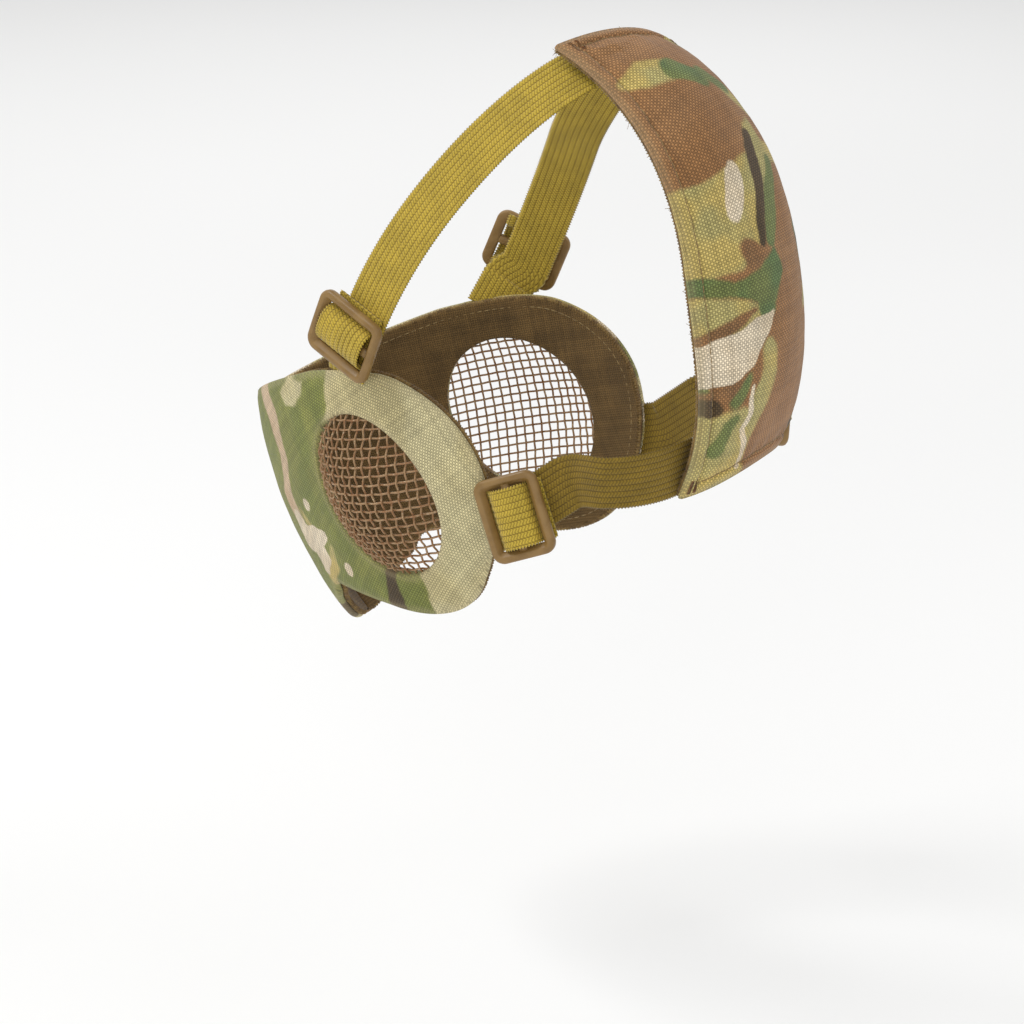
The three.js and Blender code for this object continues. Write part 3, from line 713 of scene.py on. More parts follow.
def panel_boundary(spacing):
    """(angle, z) of the closed outline, and which points are on the front seam."""
    side = np.concatenate([
        bezier([(-115, -47), (-103, -36), (-64, -20)]),
        bezier([(-64, -20), (-34, -11), (-20, -14)])[1:],
        bezier([(-20, -14), (4, -20), (13, -38)])[1:],
        bezier([(13, -38), (20, -54), (19, -72), (13, -84)])[1:],
        bezier([(13, -84), (8, -100), (-10, -104), (-30, -103)])[1:],
        bezier([(-30, -103), (-50, -103), (-62, -104)])[1:],
        np.array([(-65.2, -106.6), (-66, -108.6)]),
    ])
    # down the rear edge of the chin cup until its front outline takes over
    cup = from_side_view(np.stack([np.full(60, -66.0), np.linspace(-108.6, -121, 60)], 1))
    limit = np.interp(-cup[:, 1], [107.5, 121.0], [36.0, 18.0])
    cup = cup[face_point(cup[:, 0], cup[:, 1])[:, 0] <= limit][1:]
    corner = face_point(cup[-1, 0], cup[-1, 1])
    chin = np.concatenate([
        np.linspace((corner[0], corner[2]), (18, -121), 12)[1:],
        bezier([(18, -121), (10, CHIN_FOOT), (0, CHIN_FOOT)])[1:],
    ])
    chin = from_front_view(chin[chin[:, 0] > SEAM_X + 0.3])
    seam = from_front_view(np.stack([np.full(60, SEAM_X), np.linspace(CHIN_FOOT, -47.2, 60)], 1))
    pieces, on_seam = [], []
    for part, is_seam in ((from_side_view(side), False), (cup, False), (chin, False), (seam, True)):
        places = face_point(part[:, 0], part[:, 1])
        both = resample(np.concatenate([places, part], 1), spacing)[:-1, 3:]
        pieces.append(both)
        on_seam += [is_seam] * len(both)
    return np.concatenate(pieces), np.array(on_seam)


def outward_at(loop_angle, loop_z, hole=False):
    """Place, surface normal and outward direction in the surface along a closed loop."""
    place = face_point(loop_angle, loop_z)
    normal = face_normal(loop_angle, loop_z)
    along = unit(np.roll(place, -1, 0) - np.roll(place, 1, 0))
    out = unit(np.cross(along, normal))
    middle = place.mean(0)
    if np.mean(((place - middle) * out).sum(1)) < 0:
        out = -out
    return place, normal, (-out if hole else out)


class Panel:
    """A flat net of one cheek panel: points by (angle, z), triangles, and its two edges."""

    def __init__(self, spacing, window_grow=0.0, inset=0.0):
        edge, self.on_seam = panel_boundary(spacing)
        turns = np.linspace(0, 2 * math.pi, int(2 * math.pi * 30 / spacing), endpoint=False)
        hole = from_side_view(window_point(turns, window_grow))
        if inset:
            edge = self.inset(edge, inset, spacing)
        flat_edge, flat_hole = laid_flat(edge), laid_flat(hole)
        inner = self.filling(spacing)
        flat = inner[:, [2, 1]]
        keep = within_loop(flat, flat_edge) & ~within_loop(flat, flat_hole)
        for loop in (flat_edge, flat_hole):
            keep &= distance_to_loop(flat, loop) > spacing * 0.6
        self.edge_count, self.hole_count = len(edge), len(hole)
        self.param = np.concatenate([edge, hole, inner[keep, :2]])
        self.flat = np.concatenate([flat_edge, flat_hole, flat[keep]])
        e, h = self.edge_count, self.hole_count
        borders = [(i, (i + 1) % e) for i in range(e)] + [(e + i, e + (i + 1) % h) for i in range(h)]
        net = delaunay_2d_cdt([Vector(p) for p in self.flat], borders, [], 0, 1e-5)
        source = [ids[0] for ids in net[3]]
        triangles = [[source[i] for i in face] for face in net[2]]
        centres = np.array([self.flat[triangle].mean(0) for triangle in triangles])
        good = within_loop(centres, flat_edge) & ~within_loop(centres, flat_hole)
        self.triangles = [t for t, keep_it in zip(triangles, good) if keep_it]
        self.to_edge = distance_to_loop(self.flat, flat_edge)
        self.to_hole = distance_to_loop(self.flat, flat_hole)
        self.place = face_point(self.param[:, 0], self.param[:, 1])

    @staticmethod
    def inset(edge, depth, spacing):
        """The outline moved inward by a depth, as (angle, z)."""
        flat = laid_flat(edge)
        along = unit(np.roll(flat, -1, 0) - np.roll(flat, 1, 0))
        inward = np.stack([-along[:, 1], along[:, 0]], 1)
        if not within_loop(flat[:1] + inward[:1], flat)[0]:
            inward = -inward
        moved = flat + inward * depth
        moved = moved[within_loop(moved, flat) & (distance_to_loop(moved, flat) > depth * 0.97)]
        angles = np.linspace(0, math.radians(106), 500)
        loop = resample(np.concatenate([moved, moved[:1]]), spacing)[:-1]
        return np.array([(np.interp(w, unrolled(angles, np.full(500, z)), angles), z) for w, z in loop])

    @staticmethod
    def filling(spacing):
        """Points in staggered rows over the whole face: angle, z and distance round the face."""
        inner = []
        angles = np.linspace(0, math.radians(104), 400)
        for i, z in enumerate(np.arange(FACE_TOP, CHIN_FOOT - 1, -spacing * 0.87)):
            run = unrolled(angles, np.full(400, z))
            at = np.arange(spacing * (0.5 if i % 2 else 1.0), run[-1], spacing)
            inner.append(np.stack([np.interp(at, run, angles), np.full(len(at), z), at], 1))
        return np.concatenate(inner)

    def layer(self, offset_outer, offset_inner, edge_profile, hole_profile, wide=1.0, deep=1.0):
        """A closed sheet. The profiles are (outward, height) steps from the outer face round to the inner one.

        wide and deep scale the steps out and down at each point of the edge.
        """
        angle, z = self.param[:, 0], self.param[:, 1]
        normal = face_normal(angle, z)
        offsets = (offset_outer, offset_inner)
        points = [self.place + normal * np.asarray(offset)[..., None] for offset in offsets]
        count = len(self.place)
        faces = [list(t) for t in self.triangles]
        faces += [[i + count for i in reversed(t)] for t in self.triangles]
        total = 2 * count
        for first, size, profile, hole, out_by, down_by in (
            (0, self.edge_count, edge_profile, False, wide, deep),
            (self.edge_count, self.hole_count, hole_profile, True, 1.0, 1.0),
        ):
            ids = np.arange(first, first + size)
            base, up, out = outward_at(angle[ids], z[ids], hole)
            before = list(ids)
            for k, height in profile:
                rise = height * (down_by if height < 0 else 1.0)
                points.append(base + out * np.reshape(k * out_by, (-1, 1)) + up * np.reshape(rise, (-1, 1)))
                here = list(range(total, total + size))
                faces += bridge(before, here)
                total += size
                before = here
            faces += bridge(before, [i + count for i in ids])
        return np.concatenate(points), faces

    def carried(self, values, edge_profile, hole_profile):
        """Values of the outer face carried to every ring of a layer's mesh."""
        edge = values[:self.edge_count]
        hole = values[self.edge_count:self.edge_count + self.hole_count]
        return np.concatenate([values, values, *[edge] * len(edge_profile), *[hole] * len(hole_profile)])


SIDES = (("left", False), ("right", True))


# ---------- straps, as in the frame ----------
def frame_of(at, along, out):
    t = unit(np.array(along, float))
    n = np.array(out, float)
    return np.array(at, float), t, unit(n - t * (n @ t))


class RoundStretch:
    """A stretch of strap that bends about one centre."""

    def __init__(self, rest, radius):
        self.p, self.t, self.n = rest
        self.radius = radius
        self.centre = self.p - self.n * radius

    def at(self, s):
        turn = s / self.radius
        n = self.n * math.cos(turn) + self.t * math.sin(turn)
        t = self.t * math.cos(turn) - self.n * math.sin(turn)
        return self.centre + n * self.radius, t, n

    def frames(self, start, end, count):
        return [self.at(lerp(start, end, i / count)) for i in range(count + 1)]


def free_stretch(a, b, count):
    reach = np.linalg.norm(b[0] - a[0]) / 3
    curve = bezier([a[0], a[0] + a[1] * reach, b[0] - b[1] * reach, b[0]], count + 1)
    along = unit(np.gradient(curve, axis=0))
    frames = []
    for i in range(1, count):
        n = lerp(a[2], b[2], i / count)
        frames.append((curve[i], along[i], unit(n - along[i] * (n @ along[i]))))
    return frames


def sunk(frames, depth):
    """The frames moved inward, between the cloth and the lining."""
    return [(p - n * depth, t, n) for p, t, n in frames]


CHEEKBONE = RoundStretch(frame_of([67.4, -33, 2], [0.062, 0.377, 0.924], [0.967, -0.25, 0.038]), 100)
JAW = RoundStretch(frame_of([63.5, 29.5, -56], [-0.177, 0.784, 0.596], [0.984, 0.146, 0.1]), 130)
CHEEK_EXIT = RoundStretch(frame_of([68, -36.5, 3], [0.28, 0.38, 0.88], [0.93, -0.35, -0.15]), 100)
JAW_EXIT = RoundStretch(frame_of([64.4, 26, -57], [0, 0.9, 0.42], [0.98, 0.05, -0.14]), 130)
NAPE = RoundStretch(frame_of([51.9, 75.5, -39], [-0.75, 0.64, 0.1], [0.65, 0.755, -0.1]), 32)
CROWN_END = frame_of([13.7, 39.5, 100.1], [-0.84, 0.46, 0.15], [0.25, 0.43, 0.87])
NAPE_END = frame_of([26, 85.4, -37], [-0.96, 0.25, 0], [0.25, 0.96, -0.15])
UPPER = [
    *sunk(CHEEK_EXIT.frames(-26, -13, 10), 1.6),
    *free_stretch(CHEEK_EXIT.at(-13), CHEEKBONE.at(-5), 10),
    *CHEEKBONE.frames(-5, 58, 50),
    *free_stretch(CHEEKBONE.at(58), CROWN_END, 60),
    CROWN_END,
]
LOWER = [
    *JAW_EXIT.frames(-19, -9, 8),
    *free_stretch(JAW_EXIT.at(-9), JAW.at(-2), 10),
    *JAW.frames(-2, 20, 16),
    *free_stretch(JAW.at(20), NAPE.at(-16), 24),
    *NAPE.frames(-16, 10, 24),
    *free_stretch(NAPE.at(10), NAPE_END, 16),
    NAPE_END,
]


def webbing(frames, width=STRAP_WIDTH, thickness=STRAP_THICKNESS, start=0.0):
    """Ribbed elastic along frames of (place, along, out): points, faces and the "cloth" vectors."""
    p, n = (np.array([stop[k] for stop in frames]) for k in (0, 2))
    run = run_along(p)
    s = np.linspace(0, run[-1], int(run[-1] / (KNIT / 3)))
    p, n = read_at(s, run, p), read_at(s, run, n)
    t = unit(np.gradient(p, axis=0))
    n = unit(n - t * (n * t).sum(1, keepdims=True))
    across = np.cross(n, t)
    top = np.linspace(-1, 1, RIB_COUNT * 4 + 1)
    under = np.linspace(1, -1, RIB_COUNT * 2 + 1)[1:-1]
    place = np.concatenate([top, under])
    face = np.concatenate([np.ones(len(top)), -np.ones(len(under))])
    rib = np.abs(np.sin(place * RIB_COUNT * math.pi / 2 + math.pi / 2))
    full = (0.60 + 0.40 * rib**0.7) * np.clip((1.02 - np.abs(place)) * 14, 0.35, 1) ** 0.5
    phase = 2 * math.pi * (start + s)[:, None] / KNIT
    knit = 0.5 + 0.5 * np.sin(phase + 2.2 * np.sin(place * math.pi * RIB_COUNT)[None])
    high = thickness / 2 * full[None] * (0.90 + 0.10 * knit)
    tooth = 0.032 * np.where(np.abs(place) > 0.97, 1, 0)[None] * np.sin(phase)
    wide = width / 2 * place[None] * (1 + tooth)
    rings = p[:, None] + across[:, None] * wide[..., None] + n[:, None] * (high * face[None])[..., None]
    cloth = np.stack([
        np.broadcast_to(place * width / 2 + RIB / 2, wide.shape),
        np.broadcast_to((start + s)[:, None], wide.shape),
        np.zeros(wide.shape),
    ], -1)
    return (*sweep(rings, False), cloth.reshape(-1, 3))


def made_of(obj, slot, *nodes):
    if nodes:
        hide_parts(*nodes)
    return obj


# ---------- cheek panels ----------
def near_straps(points, reach):
    """True for points that lie over or under a strap."""
    hit = np.zeros(len(points), bool)
    for place, along, out in [*UPPER[::3], *LOWER[::3]]:
        d = points - place
        side = np.cross(out, along)
        hit |= (np.abs(d @ side) < reach) & (np.abs(d @ along) < 3.0) & (np.abs(d @ out) < 9)
    return hit


COVER_EDGE = [(0.65, -0.45), (1.1, -0.85), (1.4, -1.45), (1.4, -2.1), (1.1, -2.7), (0.55, -2.95), (0.3, -2.4),
              (0.45, -1.7), (0.2, -1.25)]
COVER_HOLE = [(0.45, 0.0), (0.85, -0.3), (1.1, -0.85), (1.1, -1.7), (1.0, -2.6), (0.85, -3.9), (0.3, -3.95),
              (0.3, -2.7), (0.35, -1.7), (0.2, -1.2)]
LINING_EDGE = [(0.5, -4.25), (0.85, -4.6), (0.5, -5.05)]
LINING_HOLE = [(0.4, -4.25), (0.7, -4.6), (0.4, -5.05)]
FOAM_EDGE = [(0.3, -1.9), (0.4, -2.8), (0.2, -3.5)]
# heights over the face's surface, which is the cover's outer side
COVER_UNDER, LINING_TOP, LINING_FACE = -1.05, -4.2, -5.1
FOAM_TOP, FOAM_PRESSED, FOAM_UNDER = -1.45, -3.5, -3.9

net = Panel(2.0)
foam_net = Panel(4.0, window_grow=5.4, inset=6.0)
edge_param = net.param[:net.edge_count]
edge_base, edge_up, edge_out = outward_at(edge_param[:, 0], edge_param[:, 1])
open_edge = np.flatnonzero(~net.on_seam)
open_base, open_up, open_out = edge_base[open_edge], edge_up[open_edge], edge_out[open_edge]
# the covers' edges hardly stand out where they meet at the seam, and roll less deep over a strap
seam_scale = np.where(net.on_seam, 0.12, 1.0)
roll_depth = np.where(near_straps(edge_base, 10.6), 0.62, 1.0)
CLOTH_LEAN, LINING_LEAN = math.radians(38), 0.2
CLOTH_TURN = 0.7  # how far the weave runs on along both threads, for each mm round an edge


def cloth_vectors(flat_u, flat_v, lean=0.0):
    c, s = math.cos(lean), math.sin(lean)
    return np.stack([flat_u * c + flat_v * s, -flat_u * s + flat_v * c, np.zeros(len(flat_u))], 1)


def off_seam(shape, least):
    """The shape of a left piece with no point nearer to the middle than least."""
    points, faces = shape
    points[:, 0] = np.maximum(points[:, 0], least)
    return points, faces


def beyond_edge():
    """How far past the outer face each point of the cover lies, round its rolled edges."""
    past = [np.zeros(2 * len(net.place))]
    for size, profile in ((net.edge_count, COVER_EDGE), (net.hole_count, COVER_HOLE)):
        steps = np.diff([(0, 0), *profile], axis=0)
        past.append(np.repeat(np.cumsum(np.hypot(steps[:, 0], steps[:, 1])), size))
    return np.concatenate(past)


def cover_height():
    """The cover's own relief: slack, puckers at the sewn edge, a lip round the window, a dip at the edges."""
    ripple = 0.26 * smooth_noise(net.place, 17.0, 3) + 0.10 * smooth_noise(net.place, 7.0, 8)
    pucker = 0.16 * np.sin(net.flat[:, 1] * 1.05 + net.flat[:, 0] * 0.6) * np.exp(-net.to_edge / 4.0)
    lip = 0.30 * np.exp(-((net.to_hole - 1.2) / 1.6) ** 2)
    dip = 0.45 * np.exp(-net.to_edge / 1.5) + 0.35 * np.exp(-net.place[:, 0] / 1.6)
    return 0.05 + ripple + pucker + lip - dip


def cover_attributes(mirrored):
    """The printed pattern and the wear at the edges, for every point of a cover."""
    cloth = Print(net.place[:, 1], net.place[:, 2])
    pattern = cloth.wild(31, 30.0) if mirrored else mask_camo(cloth)
    values = {key: np.clip(value, -FARTHEST, FARTHEST) for key, value in pattern.items()}
    values["edge"] = np.exp(-np.minimum(net.to_edge, net.to_hole) / 1.2)
    return {key: net.carried(value, COVER_EDGE, COVER_HOLE) for key, value in values.items()}


def overlock(base, up, out, centre_out, centre_up, bar, closed, pitch=1.15):
    """An overlocked edge: a soft bar along the edge and slanted loops of thread round it."""
    parts = Parts()
    path = base + out * centre_out + up * centre_up
    parts.add(*tube(path, up, bar, 8, closed))
    whole = np.concatenate([np.arange(len(path)), [0]]) if closed else np.arange(len(path))
    run = run_along(path[whole])
    turns = np.linspace(math.radians(-150), math.radians(170), 11)
    random = np.random.default_rng(11)
    for i in range(int(run[-1] / pitch)):
        wander = random.normal(0, 0.12, 3)
        at = (i + 0.5) * pitch + wander[0]
        middle, u, o = (read_at(at, run, values[whole]) for values in (path, up, out))
        u, o = unit(u), unit(o)
        along = unit(np.cross(u, o))
        reach = bar + 0.16 + 0.05 * wander[1]
        loop = []
        for k, turn in enumerate(turns):
            swing = pitch * 0.9 * (k / 10 - 0.5)
            loop.append(middle + (o * math.cos(turn) + u * math.sin(turn)) * reach + along * swing)
        parts.add(*tube(loop, along, 0.21, 5))
    return parts


def stitches(places, ups, length=2.3, gap=0.7, sink=0.12):
    """A running stitch along a path: short threads that dip into the cloth at both ends."""
    parts = Parts()
    run = run_along(places)
    radius = 0.22
    for i in range(int(run[-1] / (length + gap))):
        at = i * (length + gap) + np.linspace(0, length, 7)
        arch = np.sin(np.linspace(0, math.pi, 7)) ** 0.6
        up = unit(read_at(at, run, ups))
        path = read_at(at, run, places) + up * (radius * 1.1 * arch - sink - radius * 0.6)[:, None]
        parts.add(*tube(path, up, radius, 6))
    return parts


WIRE_PITCH, WIRE_RADIUS = 3.2, 0.40
WIRE_TURN = math.radians(12)


def woven_wires():
    """A square weave of wires over the window, pressed into a shallow dome."""
    parts = Parts()
    rows = np.array([math.cos(WIRE_TURN), math.sin(WIRE_TURN)])
    columns = np.array([-rows[1], rows[0]])
    for along, across, phase in ((rows, columns, 0), (columns, rows, 1)):
        for i in range(-13, 14):
            s = np.arange(-40, 40.01, WIRE_PITCH / 6)
            line = np.array(WINDOW_CENTRE) + along * s[:, None] + across * i * WIRE_PITCH
            share = window_share(line[:, 0], line[:, 1])
            keep = np.flatnonzero(share < 0.985)
            if len(keep) < 6:
                continue
            s, share = s[keep], share[keep]
            a, z = from_side_view(line[keep]).T
            normal = face_normal(a, z)
            weave = np.cos(math.pi * s / WIRE_PITCH) * (1 if (i + phase) % 2 == 0 else -1)
            dome = -1.9 + 9.0 * (1 - share**2)
            height = dome + weave * WIRE_RADIUS * 0.95 * smoothstep(1 - share, 0.01, 0.05)
            parts.add(*tube(face_point(a, z) + normal * height[:, None], normal, WIRE_RADIUS, 7))
    return parts


pressed = near_straps(foam_net.place, 11.5)
cover_layer = net.layer(cover_height(), COVER_UNDER, COVER_EDGE, COVER_HOLE, seam_scale, roll_depth)
cover_shape = off_seam(cover_layer, 0.06)
cover_cloth = cloth_vectors(
    net.carried(net.flat[:, 0], COVER_EDGE, COVER_HOLE) + beyond_edge() * CLOTH_TURN,
    net.carried(net.flat[:, 1], COVER_EDGE, COVER_HOLE) + beyond_edge() * CLOTH_TURN,
    CLOTH_LEAN,
)
lining_height = LINING_FACE + 0.25 * smooth_noise(net.place, 12.0, 21)
lining_shape = off_seam(net.layer(LINING_TOP, lining_height, LINING_EDGE, LINING_HOLE, seam_scale), 0.10)
lining_flat = (net.carried(flat, LINING_EDGE, LINING_HOLE) for flat in net.flat.T)
lining_vectors = cloth_vectors(*lining_flat, LINING_LEAN)
foam_shape = foam_net.layer(np.where(pressed, FOAM_PRESSED, FOAM_TOP), FOAM_UNDER, FOAM_EDGE, FOAM_EDGE)
edge_threads = overlock(open_base, open_up, open_out, centre_out=0.75, centre_up=-4.05, bar=0.72, closed=False)
overlock_shape = off_seam(edge_threads.shape(), 0.5)
inner_stitches = stitches(open_base - open_out * 2.6 + open_up * LINING_FACE, -open_up)
wires = woven_wires()

for side, mirrored in SIDES:
    body = f"{side}_half"
    attributes = cover_attributes(mirrored)
    cover = build(f"cheek_cover_{side}", *cover_shape, mask_cloth, mirrored, attributes, cover_cloth)
    made_of(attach(cover, body), "camo_fabric", f"shell_{side}")
    lining = build(f"cheek_lining_{side}", *lining_shape, lining_fabric, mirrored, None, lining_vectors)
    made_of(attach(lining, body), "lining_fabric", f"lining_{side}")
    foam = build(f"cheek_foam_{side}", *foam_shape, foam_look, mirrored)
    made_of(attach(foam, body), "foam", f"foam_{side}")
    binding = build(f"overlock_edge_{side}", *overlock_shape, overlock_thread, mirrored)
    made_of(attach(binding, body), "overlock_thread", f"edge_binding_{side}")
    inner_stitch = build(f"inner_stitching_{side}", *inner_stitches.shape(), stitch_thread, mirrored)
    made_of(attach(inner_stitch, body), "overlock_thread")
    mesh = build(f"woven_wire_window_{side}", *wires.shape(), wire, mirrored)
    made_of(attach(mesh, body), "steel_wire", f"wire_mesh_{side}")
    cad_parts[f"mesh_rim_{side}"].material_slots[0].material = wire


# ---------- seam tape inside the front seam ----------
def lining_y(x, z):
    """The y of the lining's inner face at a distance x from the middle."""
    inner_face = lambda angle: face_point(angle, z) + face_normal(angle, z) * LINING_FACE
    low, high = np.full_like(x, 0.02), np.full_like(x, 1.0)
    for _ in range(30):
        middle = (low + high) / 2
        inside = inner_face(middle)[:, 0] < x
        low, high = np.where(inside, middle, low), np.where(inside, high, middle)
    return inner_face(low)[:, 1]


TAPE_HALF, TAPE_TOP, TAPE_BOTTOM, TAPE_GAP = 3.6, -53.0, -126.0, 0.8
tape_x = np.linspace(-1, 1, 13)
rings, tape_top = [], []
for height in np.linspace(TAPE_TOP, TAPE_BOTTOM, 90):
    x, z = tape_x * TAPE_HALF, np.full(13, height)
    y = lining_y(np.maximum(np.abs(x), 0.4), z) + TAPE_GAP
    near = np.stack([x, y + 0.05, z], 1)
    far = np.stack([x, y + 0.55 + 0.25 * (1 - tape_x**4), z], 1)
    rings.append(np.concatenate([near, far[::-1]]))
    tape_top.append(far)
rings, tape_top = np.array(rings), np.array(tape_top)
tape_cloth = cloth_vectors(rings[..., 0].ravel(), rings[..., 2].ravel())
tape = build("seam_tape_cloth", *sweep(rings, False), lining_fabric, cloth=tape_cloth)
made_of(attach(tape, "harness"), "lining_fabric", "seam_tape")
parts = Parts()
for column in (2, 10):
    parts.add(*stitches(tape_top[:, column], np.tile([0.0, 1.0, 0.0], (90, 1))).shape())
tape_stitch = build("seam_tape_stitching", *parts.shape(), stitch_thread)
made_of(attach(tape_stitch, "harness"), "overlock_thread")


# ---------- straps ----------
for side, mirrored in SIDES:
    flip = np.array([-1.0 if mirrored else 1.0, 1, 1]) * MM
    # the slider of the lower right strap sits at the nape; the bends paired with each strap below are not used
    lower_bend = (JAW_EXIT.at(-12), JAW.at(20)) if mirrored else (JAW.at(20), NAPE.at(4))
    for level, frames, look, bend in (
        ("upper", UPPER, elastic, (CHEEKBONE.at(50), CROWN_END)),
        # the lower straps take the painted-shade copy of the webbing
        ("lower", LOWER, elastic_shaded, lower_bend),
    ):
        points, faces, cloth = webbing(frames)
        strap = build(f"elastic_{level}_{side}", points, faces, look, mirrored, cloth=cloth)
        made_of(strap, "elastic", f"strap_{level}_{side}")
        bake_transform(strap)


# ---------- sliders and the webbing looped through them ----------
SLIDER_LENGTH, SLIDER_WIDTH, SLIDER_CORNER, SLIDER_BOW = 24.5, 31.0, 4.5, 0.3
LIFT = STRAP_THICKNESS / 2 + 2.7 + 1.5
# (in from the outer edge, height) round one bar of the frame: a rounded rim with a flat slope inside it
BAR_SECTION = [
    (0.05, -0.7), (0.3, -1.25), (0.8, -1.5), (3.4, -1.5), (4.0, -1.3), (4.25, -0.8), (4.25, -0.35), (4.1, -0.1),
    (2.75, 1.45), (2.45, 1.72), (2.0, 1.82), (1.3, 1.8), (0.7, 1.62), (0.2, 1.15), (0.0, 0.45),
]
CENTRE_SECTION = [(-1.6, -0.9), (-1.1, -1.3), (1.1, -1.3), (1.6, -0.9), (1.8, 0.2), (1.3, 1.0), (0, 1.25),
                  (-1.3, 1.0), (-1.8, 0.2)]
LOOP_WIDTH, LOOP_THICKNESS, LOOP_START = 22.2, 1.15, 7.0


def slider_shape():
    """An adjuster slider, bowed a little: a rounded oblong frame and the bar across its middle."""
    parts = Parts()
    half = np.array([SLIDER_LENGTH, SLIDER_WIDTH]) / 2 - SLIDER_CORNER
    corners = [(1, 1), (-1, 1), (-1, -1), (1, -1)]
    towards = lambda turns: np.array([math.cos(turns * math.pi / 2), math.sin(turns * math.pi / 2)])
    stations = []
    for corner in range(4):
        centre, following = half * corners[corner], half * corners[(corner + 1) % 4]
        stations += [(centre, towards(corner + k / 8)) for k in range(9)]
        stations += [(lerp(centre, following, k / 8), towards(corner + 1)) for k in range(1, 8)]
    rings = np.array([[(*(c + d * (SLIDER_CORNER - q)), h) for q, h in BAR_SECTION] for c, d in stations])
    parts.add(*sweep(rings, True))
    reach = SLIDER_WIDTH / 2 - 2.4
    rings = np.array([[(q, y, h) for q, h in CENTRE_SECTION] for y in np.linspace(-reach, reach, 9)])
    parts.add(*sweep(rings, False))
    points, faces = parts.shape()
    points[:, 2] -= SLIDER_BOW * (points[:, 0] / (SLIDER_LENGTH / 2)) ** 2
    return points, faces


def loop_frames(radius):
    """The looped webbing from under one end bar, over the centre bar, to under the other."""
    half = np.concatenate([
        np.array([(-12.2, -3.5), (-11.0, -3.5)]),
        bezier([(-11.0, -3.5), (-8.6, -3.5), (-7.3, -2.9), (-7.0, -1.3)], 14)[1:],
        bezier([(-7.0, -1.3), (-6.5, 1.6), (-4.2, 3.0), (0, 3.0)], 18)[1:],
    ])
    path = np.concatenate([half, (half * (-1, 1))[-2::-1]])
    wrap = smoothstep(-path[:, 1], 0.5, 3.4)
    rest = radius + LIFT
    turn = path[:, 0] / (radius + 1.4)
    bent = np.stack([(rest + path[:, 1]) * np.sin(turn), (rest + path[:, 1]) * np.cos(turn) - rest], 1)
    path = lerp(path, bent, wrap[:, None])
    along = unit(np.gradient(path, axis=0))
    return [
        (np.array([x, 0, h]), np.array([a, 0, b]), np.array([-b, 0, a])) for (x, h), (a, b) in zip(path, along)
    ]


# (name, stretch, place along it, mirrored, off the strap's middle line in mm, askew in degrees)
SLIDERS = [
    ("upper_left", CHEEKBONE, 0, False, 2.5, 0),
    ("upper_right", CHEEKBONE, 0, True, 2.5, 0),
    ("lower_left", JAW, 0, False, 0, -17),
    ("lower_right", NAPE, -4, True, 0, 0),
]
for name, stretch, s, mirrored, off_middle, askew in SLIDERS:
    flip = np.array([-1.0 if mirrored else 1.0, 1, 1])
    place, along, out = stretch.at(s)
    strap_across = np.cross(out, along) * flip
    turn = math.radians(askew)
    along = (along * math.cos(turn) + np.cross(out, along) * math.sin(turn)) * flip
    out = out * flip
    across = np.cross(out, along)
    basis = np.stack([along, across, out])
    origin = place * flip + out * LIFT + strap_across * off_middle
    points, faces = slider_shape()
    slider = build(f"slider_frame_{name}", points @ basis + origin, faces, plastic)
    made_of(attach(slider, f"{name}_slider"), "plastic", f"slider_{name}")
    points, faces, cloth = webbing(loop_frames(stretch.radius), LOOP_WIDTH, LOOP_THICKNESS, LOOP_START)
    loop = build(f"looped_elastic_{name}", points @ basis + origin, faces, elastic, cloth=cloth)
    made_of(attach(loop, f"{name}_slider"), "elastic", f"strap_loop_{name}")


# ---------- head pad ----------
HEAD = np.array([77.0, 99.0, 112.0])
PAD_EDGE, PAD_CROWN = 4.4, 6.8
HALF_LENGTH = 84.0  # from the pad's middle to either end, over the head
HEM, HEM_FOOT = 3.9, 3.35  # how wide the hem is, and how high it starts
COLUMNS, ROWS = 131, 261
# the form that the cloth solver blows up: it is ten times the size, so that the solver's steps suit it
FORM_COLUMNS, FORM_ROWS, FORM_SHARE, FORM_SCALE, FORM_FRAMES = 45, 91, 0.955, 10, 20
# (outward, height) round the cushion's side, and how far each ring is from the top's edge
PAD_RINGS = [(0.55, 3.75), (0.95, 3.2), (1.1, 2.6), (0.9, 2.1), (0.4, 2.0), (0.1, 2.35)]
PAD_RING_RUN = [0.8, 1.5, 2.2, 2.8, 3.3, 3.8]


def pad_half_width(t):
    past = t + 10
    return np.where(past > 0, 41 - 15.5 * (past / 85) ** 2, 41 - 0.5 * (past / 17) ** 2)


def pad_place(side, length, height):
    """Place over the back of the head, with x and the angle t up the head."""
    side, length = np.asarray(side, float), np.asarray(length, float)
    front, nape = 67.5 + 5.5 * side + 1.5 * side**2, -22 - 5 * side**2
    t = nape + (front - nape) * (length + 1) / 2
    x = side * pad_half_width(t)
    reach = x / HEAD[0]
    bulge = 0.28 * smoothstep(-t, -20, 20)
    crown = 0.035 * np.sin(2 * np.radians(np.maximum(t, 0))) ** 2
    level = np.sqrt(1 - reach**2) * (1 + bulge * reach**2) * (1 + crown)
    turn = np.radians(t)
    on_head = np.stack([x, HEAD[1] * level * np.cos(turn), HEAD[2] * level * np.sin(turn)], -1)
    return on_head + unit(on_head / HEAD**2) * np.asarray(height)[..., None], t


def pad_top(side, length):
    return lerp(PAD_EDGE, PAD_CROWN, (1 - side**4) * (1 - length**4))


def pad_grid(columns, rows, scale):
    return np.meshgrid(np.linspace(-scale, scale, columns), np.linspace(-scale, scale, rows))


def grid_faces(columns, rows, first=0, flip=False):
    faces = []
    for j in range(rows - 1):
        for i in range(columns - 1):
            a = first + j * columns + i
            quad = [a, a + 1, a + columns + 1, a + columns]
            faces.append(quad[::-1] if flip else quad)
    return faces


